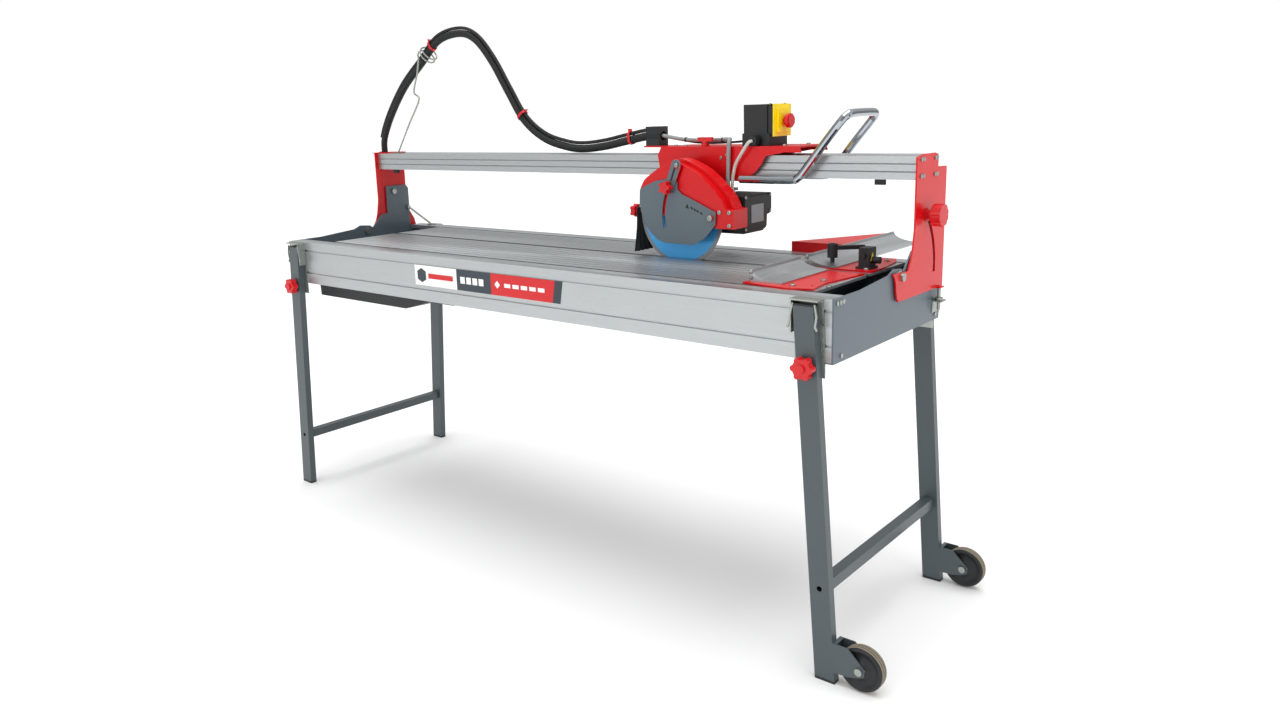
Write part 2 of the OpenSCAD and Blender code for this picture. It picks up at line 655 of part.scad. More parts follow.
// ---- carriage: folded saddle over the rail ----
module saddle_side() {
    z0 = saddle_low;
    polygon([[bx - 104, saddle_top], [bx - 116, saddle_top - 22], [bx - 110, rail_z0 + 22],
        [bx - 106, z0], [bx + 52, z0], [bx + 64, z0 + 6], [bx + 99, z0 + 9],
        [bx + 155, rail_z0 - 1], [bx + 178, rail_z0 + 12],
        [bx + 195, rail_z0 + 31], [bx + 207, saddle_top - 23], [bx + 259, saddle_top - 14],
        [bx + 302, saddle_top - 15], [bx + 298, saddle_top]]);
}
module carriage() {
    placed() color(red) difference() {
        union() {
            slab_y(saddle_y0, saddle_y0 + saddle_t) saddle_side();
            slab_y(saddle_y1 - saddle_t, saddle_y1) saddle_side();
            block(bx - 104, bx + 298, saddle_y0, saddle_y1, saddle_top - 4, saddle_top);
            block(bx - 196, bx - 100, rail_centre - 22, rail_centre + 22, saddle_top - 4, saddle_top);
            slab_z(saddle_low, saddle_low + 4) polygon([[bx - 106, saddle_y0],
                [bx - 84, saddle_y0], [bx - 84, saddle_y1], [bx - 106, saddle_y1],
                [bx - 106, rail_y1 - 2], [bx - 184, rail_y1 - 2], [bx - 184, rail_y0 + 12],
                [bx - 106, rail_y0 + 12]]);
            for (y = [rail_y0 + 12, rail_y1 - 6]) slab_y(y, y + 4)
                polygon([[bx - 184, saddle_low + 4], [bx - 148, saddle_low + 4],
                    [hinge_x + 13, hinge_z - 8], [hinge_x + 4, hinge_z - 13],
                    [hinge_x - 10, hinge_z - 10]]);
            for (x = roller_xs) for (y = [rail_y0 - 6, rail_y1 + 6])
                rod_z(rail_z0 + 12, saddle_top - 1, x, y, 2.4);
            rod_y(rail_y0 + 11, rail_y1 - 1, hinge_x, hinge_z, 6);
        }
        rod_z(saddle_top - 5, saddle_top + 1, bx + 19, depth_y, 5.1);
    }
}
roller_xs = [bx - 84, bx + 126];
depth_y = saddle_y0 + 22;
module carriage_rollers() {
    placed() color(black) for (x = roller_xs) for (y = [rail_y0 - 6, rail_y1 + 6]) difference() {
        rod_z(rail_z0 + 14, rail_z0 + 38, x, y, 5.7);
        rod_z(rail_z0 + 13, rail_z0 + 39, x, y, 2.46);
    }
}
module loom_clamp() {
    placed() color(black) difference() {
        block(bx - 190, bx - 146, rail_centre - 20, rail_centre + 20, saddle_top, saddle_top + 50);
        rod_x(bx - 191, bx - 145, rail_centre, rail_z1 + 47, loom_r + 1.5);
        block(bx - 191, bx - 145, rail_centre - 21, rail_centre - 15, saddle_top + 20, saddle_top + 30);
    }
}

// ---- switch box with a hinged yellow flap and a mushroom stop button ----
sw_x = bx + 136;
sw_y = saddle_y0 + 16;
sw_z = saddle_top;
module switch_box() {
    placed() color(black) difference() {
        union() {
            block(sw_x - 4, sw_x + 72, sw_y, sw_y + 84, sw_z, sw_z + 30);
            block(sw_x, sw_x + 65, sw_y + 1, sw_y + 83, sw_z + 30, sw_z + 98);
            block(sw_x + 65, sw_x + 80, sw_y + 4, sw_y + 80, sw_z + 24, sw_z + 94);
            rod_y(sw_y - 22, sw_y, sw_x + 38, sw_z + 13, 11);
            rod_y(sw_y - 14, sw_y - 6, sw_x + 38, sw_z + 13, 13);
            for (y = [sw_y + 6, sw_y + 72]) rod_y(y, y + 6, hinge_pin_x, hinge_pin_z, 2.8);
        }
        rod_y(sw_y + 5, sw_y + 79, hinge_pin_x, hinge_pin_z, 1.25);
        block(sw_x + 70, sw_x + 81, sw_y + 8, sw_y + 76, sw_z + 28, sw_z + 90);
    }
}
flap_x = sw_x + 80.4;
hinge_pin_x = flap_x - 10.5;
hinge_pin_z = sw_z + 96.5;
module switch_flap() {
    placed() color([0.98, 0.88, 0.05]) difference() {
        union() {
            block(flap_x, flap_x + 3, sw_y + 2, sw_y + 82, sw_z + 22, sw_z + 97);
            block(flap_x, flap_x + 9, sw_y + 14, sw_y + 70, sw_z + 32, sw_z + 86);
            block(hinge_pin_x, flap_x + 3, sw_y + 14, sw_y + 70, sw_z + 95, sw_z + 98);
            rod_y(sw_y + 14, sw_y + 70, hinge_pin_x, hinge_pin_z, 1.9);
            rod_y(sw_y + 7, sw_y + 77, hinge_pin_x, hinge_pin_z, 1.2);
        }
        rod_x(flap_x - 1, flap_x + 10, sw_y + 42, sw_z + 58, 8.06);
    }
}
module stop_button() {
    placed() color(red) {
        rod_x(flap_x - 6, flap_x + 14, sw_y + 42, sw_z + 58, 8);
        rod_x(flap_x + 14, flap_x + 18, sw_y + 42, sw_z + 58, 13);
        rod_x(flap_x + 18, flap_x + 26, sw_y + 42, sw_z + 58, 17);
        rod_x(flap_x + 26, flap_x + 29, sw_y + 42, sw_z + 58, 14);
    }
}
module depth_knob() {
    x = bx + 19;
    placed() color(red) {
        rod_z(saddle_top - 12, saddle_top + 4, x, depth_y, 5);
        rod_z(saddle_top + 0.1, saddle_top + 6, x, depth_y, 10);
        rod_z(saddle_top + 6, saddle_top + 12, x, depth_y, 8);
        block(x - 17, x + 17, depth_y - 6, depth_y + 6, saddle_top + 12, saddle_top + 22);
        for (s = [-1, 1]) rod_z(saddle_top + 12, saddle_top + 22, x + 17 * s, depth_y, 6);
    }
}

// ---- chrome push handle ----
function handle_leg(y) = [[bx + 144, y, rail_z0 - 4], [bx + 200, y, rail_z0 - 4],
    [bx + 282, y, rail_z0 - 4], [bx + 302, y, rail_z0 + 2], [bx + 318, y, rail_z0 + 18],
    [bx + 366, y, rail_z0 + 78], [bx + 410, y, rail_z0 + 130]];
handle_route = concat(handle_leg(handle_y0),
    [[bx + 420, handle_y0 + 10, rail_z0 + 142], [bx + 423, handle_y0 + 30, rail_z0 + 146],
    [bx + 423, handle_y1 - 30, rail_z0 + 146], [bx + 420, handle_y1 - 10, rail_z0 + 142]],
    [for (i = [0 : 6]) handle_leg(handle_y1)[6 - i]]);
module handle() {
    placed() color(zinc) {
        tube(smooth(handle_route, 3), handle_r, 12, [0, 0, 1]);
        block(bx + 146, bx + 168, saddle_y0 - 5, saddle_y0, rail_z0 - 10, rail_z0 + 4);
        block(bx + 146, bx + 168, saddle_y1, saddle_y1 + 5, rail_z0 - 10, rail_z0 + 4);
    }
}

// ---- plunging head: arm, motor, spindle and blade ----
module head_arm() {
    y0 = rail_y0 + 17.5;
    y1 = rail_y1 - 7.5;
    placed() color(grey) difference() {
        union() {
            rod_y(y0, y1, hinge_x, hinge_z, 11);
            block(hinge_x, bx + 60, y0, y1, blade_z + motor_radius, blade_z + motor_radius + 7);
        }
        rod_y(y0 - 1, y1 + 1, hinge_x, hinge_z, 6.05);
    }
}
module motor() {
    y0 = guard_y1 + 9;
    y1 = rail_y1 + 14;
    placed() color(black) difference() {
        union() {
            rod_y(y0, y1, bx, blade_z, motor_radius - 4);
            for (i = [0 : 11]) rod_y(y0 + 20 + 11 * i, y0 + 24 + 11 * i, bx, blade_z, motor_radius);
            rod_y(y0, y0 + 12, bx, blade_z, motor_radius);
            block(bx - 26, bx + 26, y0, y1 - 40, blade_z + 20, blade_z + motor_radius);
            rod_y(guard_y1, y0, bx, blade_z, 24);
            block(bx, bx + 62, y0 + 14, y1 - 54, blade_z - 30, blade_z + 30);
        }
        rod_y(guard_y1 - 1, y0 + 14, bx, blade_z, 12.76);
    }
}
module motor_box() {
    x0 = bx + 62;
    x1 = bx + 163;
    y0 = guard_y1 + 10;
    y1 = rail_y1 - 12;
    z0 = blade_z - 44;
    z1 = blade_z + 48;
    placed() color(black) {
        slab_x(x0, x1 - 3) polygon([[y0, z0], [y1 - 40, z0], [y1 - 22, z0 + 8], [y1 - 20, z0 + 38],
            [y1, z0 + 42], [y1, z1], [y0, z1]]);
        slab_x(x1 - 3, x1) polygon([[y0 + 3, z0 + 3], [y1 - 42, z0 + 3], [y1 - 25, z0 + 11],
            [y1 - 23, z0 + 41], [y1 - 3, z0 + 45], [y1 - 3, z1 - 3], [y0 + 3, z1 - 3]]);
    }
}
module spindle() {
    placed() color(zinc) {
        rod_y(by - 14, guard_y1 + 20, bx, blade_z, 12.66);
        rod_y(by - 8, by - 1.1, bx, blade_z, 36);
        rod_y(by + 1.1, by + 9, bx, blade_z, 36);
        rod_y(by - 19, by - 8, bx, blade_z, 17, $fn = 6);
    }
}
module blade() {
    t = rim_thickness / 2;
    placed() color([0.25, 0.65, 0.95]) difference() {
        union() {
            rod_y(by - 1.1, by + 1.1, bx, blade_z, blade_r - 4);
            difference() {
                rod_y(by - t, by + t, bx, blade_z, blade_r);
                rod_y(by - t - 1, by + t + 1, bx, blade_z, blade_r - 9);
            }
        }
        rod_y(by - 3, by + 3, bx, blade_z, 12.7);
    }
}

// ---- blade guard: upper shell, adjustable lower cover, splash curtain ----
guard_rim = concat([[-108, 8], [-108, 70]],
    smooth([[-103, 80], [-90, 97], [-61, 115], [-28, 133], [4, 141], [38, 132], [82, 111],
        [125, 76], [151, 48], [163, 24]], 3), [[178, 22], [178, -24], [114, -24], [114, -9]]);
function guard_outline(k) = [for (q = guard_rim) [bx + k * q[0], blade_z + k * q[1]]];
module guard_shell() {
    t = 3;
    step_y = by - 12;
    placed() color(red) {
        difference() {
            union() {
                slab_y(guard_y0, step_y + t) polygon(guard_outline(0.94));
                slab_y(step_y, guard_y1) polygon(guard_outline(1));
                slab_y(guard_y0, guard_y1) translate([bx, blade_z])
                    polygon([[126, 22], [178, 22], [178, -24], [126, -24]]);
            }
            slab_y(guard_y0 + t, step_y + t) polygon(guard_outline(0.915));
            slab_y(step_y + t, guard_y1 - t) polygon(guard_outline(0.976));
            block(bx - 130, bx + 110, guard_y0 + t, guard_y1 - t, blade_z - 60, blade_z + 74);
            block(bx + 100, bx + 128, step_y + t, guard_y1 - t, blade_z - 60, blade_z - 6);
            rod_y(guard_y1 - 4, guard_y1 + 1, bx, blade_z, 14);
            block(bx - 14, bx + 14, guard_y1 - 4, guard_y1 + 1, blade_z - 30, blade_z);
            rod_y(guard_y0 - 1, guard_y0 + 4, stud_x, stud_z, 4.1);
        }
        rod_y(cover_y0 - 6, guard_y0 + 1, pivot_x, pivot_z, 4);
        rod_y(cover_y0 - 6, cover_y0 - 0.3, pivot_x, pivot_z, 7);
        rod_y(cover_y0 - 5.5, guard_y0 + 1, arm_x, arm_z, 5);
        slab_y(cover_y0 - 2.8, cover_y0 - 0.5) difference() {
            hull() {
                translate([arm_x - 2, arm_z]) circle(r = 13);
                translate([stud_x, stud_z]) circle(r = 13);
            }
            translate([stud_x, stud_z]) circle(r = 4.2);
        }
    }
}
arm_x = bx + 20;
arm_z = blade_z + 122;
stud_x = pivot_x + cover_slot_r * cos(150);
stud_z = pivot_z + cover_slot_r * sin(150);
module guard_cover() {
    placed() color(grey) difference() {
        slab_y(cover_y0, cover_y1) difference() {
            polygon([[bx - 86, blade_z + 72], [bx - 99, blade_z + 63], [bx - 101, blade_z + 29],
                [bx - 90, blade_z - 15], [bx - 69, blade_z - 42], [bx - 46, blade_z - 60],
                [bx - 21, blade_z - 67], [bx + 64, blade_z - 67], [bx + 96, blade_z - 50],
                [bx + 118, blade_z - 27], [bx + 129, blade_z - 14], [bx + 130, blade_z + 15],
                [bx + 76, blade_z + 38], [bx + 31, blade_z + 56], [bx + 19, blade_z + 66],
                [bx + 17, blade_z + 86], [bx - 14, blade_z + 92], [bx - 46, blade_z + 87]]);
            polygon(concat(arc(pivot_x, pivot_z, cover_slot_r + 4.6, 147, 192, 14),
                arc(pivot_x, pivot_z, cover_slot_r - 4.6, 192, 147, 14)));
        }
        rod_y(cover_y0 - 1, cover_y1 + 1, pivot_x, pivot_z, 4.08);
    }
}
module cover_knob() {
    y0 = cover_y0 - 6;
    placed() color(red) {
        rod_y(y0, guard_y0 + 6, stud_x, stud_z, 4);
        rod_y(y0, cover_y0 - 2.9, stud_x, stud_z, 9);
        rod_y(y0 - 18, y0, stud_x, stud_z, 11);
        for (i = [0 : 4]) rod_y(y0 - 18, y0, stud_x + 12 * cos(72 * i), stud_z + 12 * sin(72 * i), 4.5);
    }
}
curtain_x = bx - 131;
module splash_curtain() {
    placed() color(black) {
        slab_x(curtain_x, curtain_x + 3.5) polygon([[by - 16, blade_z + 16],
            [guard_y1 + 3, blade_z + 16], [guard_y1 + 3, blade_z - 4], [by + 18, blade_z - 14],
            [by + 30, blade_z - 50], [by + 62, zt + 12], [by - 30, zt + 12],
            [by - 20, blade_z - 50], [by - 16, blade_z - 14]]);
        block(curtain_x, bx - 84, guard_y1, guard_y1 + 3, blade_z - 4, blade_z + 16);
    }
}
module curtain_knob() {
    placed() color(red) {
        rod_x(curtain_x - 6, curtain_x, by - 2, blade_z + 6, 9);
        rod_x(curtain_x - 20, curtain_x - 6, by - 2, blade_z + 6, 13);
        for (i = [0 : 4]) rod_x(curtain_x - 20, curtain_x - 6, by - 2 + 13 * cos(72 * i),
            blade_z + 6 + 13 * sin(72 * i), 4.5);
    }
}

// ---- cable and water tubes from the clamp to the switch, motor and guard ----
clamp_x = bx - 143;
lines_y = saddle_y0 - 9;
grey_route = [[clamp_x, rail_centre - 6, rail_z1 + 48], [bx - 66, rail_centre - 8, rail_z1 + 37],
    [bx + 19, rail_centre - 12, rail_z1 + 36], [bx + 80, rail_centre - 30, rail_z1 + 38],
    [bx + 106, saddle_y0 - 2, rail_z1 + 36], [bx + 109, lines_y, rail_z1 + 16],
    [bx + 107, lines_y, rail_z0 + 4], [bx + 108, lines_y, saddle_low - 8],
    [bx + 108, lines_y + 4, blade_z + 60], [bx + 108, lines_y + 4, blade_z + 52.6]];
black_route = [[clamp_x, rail_centre + 8, rail_z1 + 44], [bx - 40, rail_centre + 8, rail_z1 + 29],
    [bx + 60, rail_centre + 4, rail_z1 + 29], [bx + 130, rail_centre - 8, rail_z1 + 34]];
white_route = [[sw_x + 38, sw_y - 24.5, sw_z + 13], [sw_x + 32, lines_y - 6, sw_z + 8],
    [bx + 148, lines_y - 6, rail_z1 + 4], [bx + 128, lines_y - 2, rail_z0 + 26],
    [bx + 119, lines_y, saddle_low], [bx + 121, lines_y + 4, blade_z + 60],
    [bx + 121, lines_y + 4, blade_z + 52.6]];
module head_lines() {
    placed() {
        color([0.6, 0.63, 0.63]) tube(smooth(grey_route, 4), 5, 8, [0, 1, 0]);
        color(black) tube(smooth(black_route, 4), 3, 8, [0, 1, 0]);
        color([0.9, 0.9, 0.88]) tube(smooth(white_route, 4), 4, 8, [1, 0, 0]);
    }
}

front_profile();
rear_profile();
left_end_plate();
right_end_plate();
cross_members();
front_table();
rear_table();
frame_screws();
water_tray();
water_pump();
leg_brackets();
stop_base();
front_fence();
rear_fence();
support_wing();
laser_module();
clamp_lever();
tilt_bolts();
riser_brace();
tilt_stops();
left_tilt_knob();
right_tilt_knob();
left_legs();
right_legs();
left_caps();
right_caps();
wheel_forks();
wheel_axles();
front_wheel();
rear_wheel();
front_left_knob();
front_right_knob();
rear_left_knob();
rear_right_knob();
rail();
left_column();
right_column();
rail_screws();
rail_bumpers();
loom_support();
hose_loom();
carriage();
carriage_rollers();
loom_clamp();
switch_box();
switch_flap();
stop_button();
depth_knob();
handle();
head_arm();
motor();
motor_box();
spindle();
blade();
guard_shell();
guard_cover();
cover_knob();
splash_curtain();
curtain_knob();
head_lines();
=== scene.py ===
import math

import bmesh
import bpy
from mathutils import Matrix, Vector


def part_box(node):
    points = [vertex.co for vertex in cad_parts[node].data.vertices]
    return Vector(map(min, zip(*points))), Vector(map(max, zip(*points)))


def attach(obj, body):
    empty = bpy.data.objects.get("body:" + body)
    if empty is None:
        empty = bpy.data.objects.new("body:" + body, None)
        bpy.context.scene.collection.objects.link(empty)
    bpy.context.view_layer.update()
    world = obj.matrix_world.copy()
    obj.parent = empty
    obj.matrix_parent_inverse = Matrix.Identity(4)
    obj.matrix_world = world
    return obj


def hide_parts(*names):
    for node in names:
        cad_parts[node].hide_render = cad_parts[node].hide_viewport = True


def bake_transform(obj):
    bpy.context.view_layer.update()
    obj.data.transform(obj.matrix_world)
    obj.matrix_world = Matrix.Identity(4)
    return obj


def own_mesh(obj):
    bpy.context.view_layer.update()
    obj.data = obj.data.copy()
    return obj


bl_info = {
    "name": "Wet tile saw",
    "version": (1, 0, 0),
    "blender": (4, 2, 0),
    "location": "View3D > Sidebar > Tile saw",
    "description": "Dresses the tile saw's CAD frame with materials, hoses, labels and small hardware",
    "category": "Object",
}

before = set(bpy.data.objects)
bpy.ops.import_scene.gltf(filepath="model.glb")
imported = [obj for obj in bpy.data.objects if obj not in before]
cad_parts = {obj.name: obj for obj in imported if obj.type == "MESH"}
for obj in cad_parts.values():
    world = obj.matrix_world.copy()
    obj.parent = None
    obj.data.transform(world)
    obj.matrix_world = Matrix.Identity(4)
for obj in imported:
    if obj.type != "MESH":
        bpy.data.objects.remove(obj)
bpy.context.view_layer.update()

MM = 0.001


def middle(node):
    low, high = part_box(node)
    return (low + high) / 2


FRONT_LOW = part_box("front_profile")[0]
REAR_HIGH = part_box("rear_profile")[1]
# floor point under the middle of the table frame; shapes below are given from it, in millimetres
FRAME_CENTRE = Vector((middle("front_profile").x, (FRONT_LOW.y + REAR_HIGH.y) / 2, 0))


def at(x, y, z):
    return FRAME_CENTRE + Vector((x, y, z)) * MM


def linear(hex_code):
    """An sRGB hex colour as linear red, green, blue."""
    parts = [int(hex_code[i : i + 2], 16) / 255 for i in (1, 3, 5)]
    return tuple(c / 12.92 if c <= 0.04045 else ((c + 0.055) / 1.055) ** 2.4 for c in parts)


def colour(label, hex_code, about):
    return bpy.props.FloatVectorProperty(
        name=label, description=about, default=linear(hex_code), subtype="COLOR", size=3, min=0, max=1
    )


def length(label, millimetres, about):
    return bpy.props.FloatProperty(
        name=label, description=about, default=millimetres * MM, unit="LENGTH", min=0
    )


class SawColours(bpy.types.PropertyGroup):
    aluminium: colour("Aluminium", "#B4B8B9", "Extruded profiles, rail and table")
    grey_paint: colour("Grey paint", "#58656E", "End plates, guard cover and arms")
    leg_paint: colour("Leg paint", "#454F53", "Folding legs")
    red_paint: colour("Red paint", "#D2020C", "Columns, carriage and guard")
    zinc: colour("Zinc", "#A2A6A0", "Brackets, screws and wire")
    chrome: colour("Chrome", "#A8AEB4", "Push handle")
    black: colour("Black plastic", "#15171A", "Motor, switch box and caps")
    rubber: colour("Rubber", "#111214", "Hoses and curtain")
    red_plastic: colour("Red plastic", "#CE0812", "Knobs and ties")
    yellow: colour("Yellow plastic", "#FFDE00", "Switch flap")
    blade_blue: colour("Blade blue", "#4FB0F2", "Painted core of the blade")
    tread: colour("Tread", "#8C8270", "Wheel tread")
    grey_cable: colour("Grey cable", "#8E9494", "Cable sheath")
    water_tube: colour("Water tube", "#DCDDD6", "Milky water tube")
    label_grey: colour("Label grey", "#8D9294", "Rating plate")
    decal_dark: colour("Decal slate", "#27343E", "Dark field of the side decal")
    decal_white: colour("Decal white", "#F2F3F2", "Light field of the side decal")


class SawSizes(bpy.types.PropertyGroup):
    loom_diameter: length("Loom hose", 22, "Outer diameter of the ribbed hose")
    side_tube: length("Side tube", 10, "Outer diameter of the tube strapped to the hose")
    rib_pitch: length("Rib pitch", 5, "Distance between the hose's ribs")
    sheet: length("Decal", 0.3, "Thickness of printed film")
    edge: length("Edge", 0.6, "Rounding of folded and cut edges")


# ---------------------------------------------------------------- materials


def node(tree, kind, settings=None, **links):
    """Adds one shader node, sets its values and links its inputs."""
    made = tree.nodes.new(kind)
    for key, value in (settings or {}).items():
        if hasattr(made, key):
            setattr(made, key, value)
        else:
            made.inputs[key].default_value = value
    for socket, source in links.items():
        tree.links.new(source, made.inputs[socket.replace("_", " ")])
    return made


def finish_of(name, colour_value, rough=0.4, metal=0.0, spread=0.06, tint=0.08, grain=400.0,
              stretch=(1, 1, 1), bump=0.05, depth=0.0002, coat=0.0, ior=1.5, blade_axis=None, **extra):
    """One painted, plated or moulded surface: slightly worn colour, uneven gloss and a fine relief."""
    found = bpy.data.materials.get(name)
    if found:
        return found
    made = bpy.data.materials.new(name)
    made.use_nodes = True
    tree = made.node_tree
    shader = tree.nodes["Principled BSDF"]
    shader.inputs["Metallic"].default_value = metal
    shader.inputs["IOR"].default_value = ior
    shader.inputs["Coat Weight"].default_value = coat
    shader.inputs["Coat Roughness"].default_value = 0.12
    for key, value in extra.items():
        shader.inputs[key.replace("_", " ")].default_value = value
    place = node(tree, "ShaderNodeTexCoord")
    mapped = node(tree, "ShaderNodeMapping", {"Scale": stretch}, Vector=place.outputs["Object"])
    fine = node(tree, "ShaderNodeTexNoise", {"Scale": grain, "Detail": 4.0, "Roughness": 0.6},
                Vector=mapped.outputs["Vector"])
    wide = node(tree, "ShaderNodeTexNoise", {"Scale": 9.0, "Detail": 5.0, "Roughness": 0.65},
                Vector=mapped.outputs["Vector"])
    low = [c * (1 - tint) for c in colour_value] + [1]
    high = [min(1, c * (1 + tint)) for c in colour_value] + [1]
    ramp = node(tree, "ShaderNodeMix", {"data_type": "RGBA"})
    ramp.inputs[6].default_value = low
    ramp.inputs[7].default_value = high
    tree.links.new(wide.outputs["Fac"], ramp.inputs[0])
    gloss_range = {"From Min": 0.3, "From Max": 0.7,
                   "To Min": max(0.02, rough - spread), "To Max": min(1, rough + spread)}
    gloss = node(tree, "ShaderNodeMapRange", gloss_range, Value=fine.outputs["Fac"])
    relief = node(tree, "ShaderNodeBump", {"Strength": bump, "Distance": depth}, Height=fine.outputs["Fac"])
    base = ramp.outputs[2]
    if blade_axis is not None:
        # past the inner radius, measured about the y axis through the centre, the rim colour takes over
        centre, inner, rim_colour = blade_axis
        shifted = node(tree, "ShaderNodeVectorMath", {"operation": "SUBTRACT"})
        tree.links.new(place.outputs["Object"], shifted.inputs[0])
        shifted.inputs[1].default_value = centre
        flat = node(tree, "ShaderNodeVectorMath", {"operation": "MULTIPLY"})
        tree.links.new(shifted.outputs[0], flat.inputs[0])
        flat.inputs[1].default_value = (1, 0, 1)
        away = node(tree, "ShaderNodeVectorMath", {"operation": "LENGTH"})
        tree.links.new(flat.outputs[0], away.inputs[0])
        past = node(tree, "ShaderNodeMath", {"operation": "GREATER_THAN"})
        tree.links.new(away.outputs["Value"], past.inputs[0])
        past.inputs[1].default_value = inner
        two = node(tree, "ShaderNodeMix", {"data_type": "RGBA"})
        tree.links.new(past.outputs[0], two.inputs[0])
        tree.links.new(base, two.inputs[6])
        two.inputs[7].default_value = list(rim_colour) + [1]
        base = two.outputs[2]
    tree.links.new(base, shader.inputs["Base Color"])
    tree.links.new(gloss.outputs["Result"], shader.inputs["Roughness"])
    tree.links.new(relief.outputs["Normal"], shader.inputs["Normal"])
    return made


def materials():
    """Every finish on the saw, by name."""
    c = bpy.context.scene.saw_colours
    blade = middle("blade")
    radius = (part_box("blade")[1].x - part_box("blade")[0].x) / 2
    return {
        # extruded and clear-anodised: streaks run along the length of the saw
        "silver": finish_of("anodised aluminium extrusion", c.aluminium, 0.36, 0.85, 0.1, 0.06, 600,
                            (0.02, 1, 1), 0.12, 0.0001, Anisotropic=0.5),
        "bench": finish_of("ribbed aluminium table extrusion", c.aluminium, 0.42, 0.8, 0.12, 0.1, 500,
                           (0.015, 1, 1), 0.3, 0.0002, Anisotropic=0.5),
        # sprayed and baked: a fine orange-peel skin
        "grey": finish_of("grey powder coat", c.grey_paint, 0.42, 0, 0.08, 0.07, 900, bump=0.12, coat=0.15),
        "leg": finish_of("slate powder coat", c.leg_paint, 0.42, 0, 0.08, 0.07, 900, bump=0.12, coat=0.15),
        "red": finish_of("red gloss powder coat", c.red_paint, 0.34, 0, 0.06, 0.06, 700, bump=0.06,
                         coat=0.15, Specular_IOR_Level=0.3),
        # passivated sheet and wire: dull shine with a cloudy tone
        "zinc": finish_of("zinc plated steel", c.zinc, 0.34, 0.9, 0.12, 0.14, 300, bump=0.08),
        "chrome": finish_of("polished chrome tube", c.chrome, 0.07, 1.0, 0.03, 0.02, 120, bump=0.01),
        # spark-textured mouldings
        "black": finish_of("black moulded plastic", c.black, 0.5, 0, 0.1, 0.2, 1500, bump=0.25),
        "rubber": finish_of("black rubber", c.rubber, 0.62, 0, 0.12, 0.25, 800, bump=0.2),
        "knob": finish_of("red moulded plastic", c.red_plastic, 0.36, 0, 0.08, 0.05, 1200, bump=0.12),
        "yellow": finish_of("yellow moulded plastic", c.yellow, 0.38, 0, 0.08, 0.04, 1200, bump=0.12),
        "blade": finish_of("blue lacquered blade with sintered rim", c.blade_blue, 0.34, 0.35, 0.1, 0.08,
                           900, bump=0.15, blade_axis=(blade, radius - 9 * MM, linear("#8E9296"))),
        "tread": finish_of("tan rubber tread", c.tread, 0.75, 0, 0.1, 0.2, 500, bump=0.4, depth=0.0006),
        "cable": finish_of("grey cable sheath", c.grey_cable, 0.45, 0, 0.08, 0.08, 900, bump=0.1),
        "tube": finish_of("milky water tube", c.water_tube, 0.3, 0, 0.06, 0.05, 300, bump=0.05,
                          Transmission_Weight=0.25, ior=1.45),
        "plate": finish_of("printed grey rating plate", c.label_grey, 0.4, 0.3, 0.08, 0.1, 700, bump=0.1),
        "slate": finish_of("slate printed film", c.decal_dark, 0.35, 0, 0.06, 0.06, 700, bump=0.04),
        "paper": finish_of("white printed film", c.decal_white, 0.35, 0, 0.06, 0.03, 700, bump=0.04),
        "film_red": finish_of("red printed film", c.red_plastic, 0.32, 0, 0.05, 0.04, 700, bump=0.04),
    }


KNOBS = "left_tilt_knob right_tilt_knob front_left_knob front_right_knob rear_left_knob rear_right_knob " \
        "stop_button depth_knob cover_knob curtain_knob"
FINISH_OF_NODE = {
    "silver": "front_profile rear_profile front_fence rear_fence rail",
    "bench": "front_table rear_table",
    "grey": "left_end_plate right_end_plate cross_members head_arm guard_cover",
    "leg": "left_legs right_legs wheel_forks",
    "red": "stop_base support_wing left_column right_column carriage guard_shell",
    "zinc": "frame_screws leg_brackets tilt_bolts riser_brace tilt_stops wheel_axles rail_screws "
            "loom_support spindle",
    "chrome": "handle",
    "black": "water_tray water_pump laser_module clamp_lever left_caps right_caps loom_clamp switch_box "
             "motor motor_box",
    "rubber": "front_wheel rear_wheel rail_bumpers hose_loom carriage_rollers splash_curtain head_lines",
    "knob": KNOBS,
    "yellow": "switch_flap",
    "blade": "blade",
}
ROUND_NODES = KNOBS + " switch_box switch_flap motor_box carriage guard_shell stop_base left_legs " \
                      "right_legs leg_brackets clamp_lever laser_module loom_clamp"


# ---------------------------------------------------------------- mesh helpers


def new_piece(name, bm, finish, body, smooth=False):
    """Turns a mesh under construction into an object that rides on a body."""
    bmesh.ops.recalc_face_normals(bm, faces=bm.faces)
    data = bpy.data.meshes.new(name)
    bm.to_mesh(data)
    bm.free()
    for face in data.polygons:
        face.use_smooth = smooth
    data.materials.append(finish)
    made = bpy.data.objects.new(name, data)
    bpy.context.scene.collection.objects.link(made)
    if body:
        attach(made, body)
    return made


def rounded(obj, width):
    """Breaks the sharp edges of a piece so that they catch the light."""
    bevel = obj.modifiers.new("edges", "BEVEL")
    bevel.width = width
    bevel.segments = 2
    bevel.limit_method = "ANGLE"
    bevel.angle_limit = math.radians(40)
    bevel.harden_normals = False


def extruded(bm, outline, direction):
    """A flat outline of points pushed along a direction into a closed solid."""
    low = [bm.verts.new(p) for p in outline]
    high = [bm.verts.new(p + direction) for p in outline]
    bm.faces.new(low)
    bm.faces.new(list(reversed(high)))
    for i in range(len(low)):
        j = (i + 1) % len(low)
        bm.faces.new([low[i], high[i], high[j], low[j]])


def lathe(bm, profile, centre, axis, steps=48):
    """A closed ring-shaped solid turned from (along, radius) points about an axis."""
    turn = axis.to_track_quat("Z", "Y")
    rings = []
    for i in range(steps):
        a = 2 * math.pi * i / steps
        rings.append([bm.verts.new(centre + turn @ Vector((r * math.cos(a), r * math.sin(a), z)))
                      for z, r in profile])
    count = len(profile)
    for i in range(steps):
        for k in range(count):
            bm.faces.new([rings[i][k], rings[(i + 1) % steps][k], rings[(i + 1) % steps][(k + 1) % count],
                          rings[i][(k + 1) % count]])


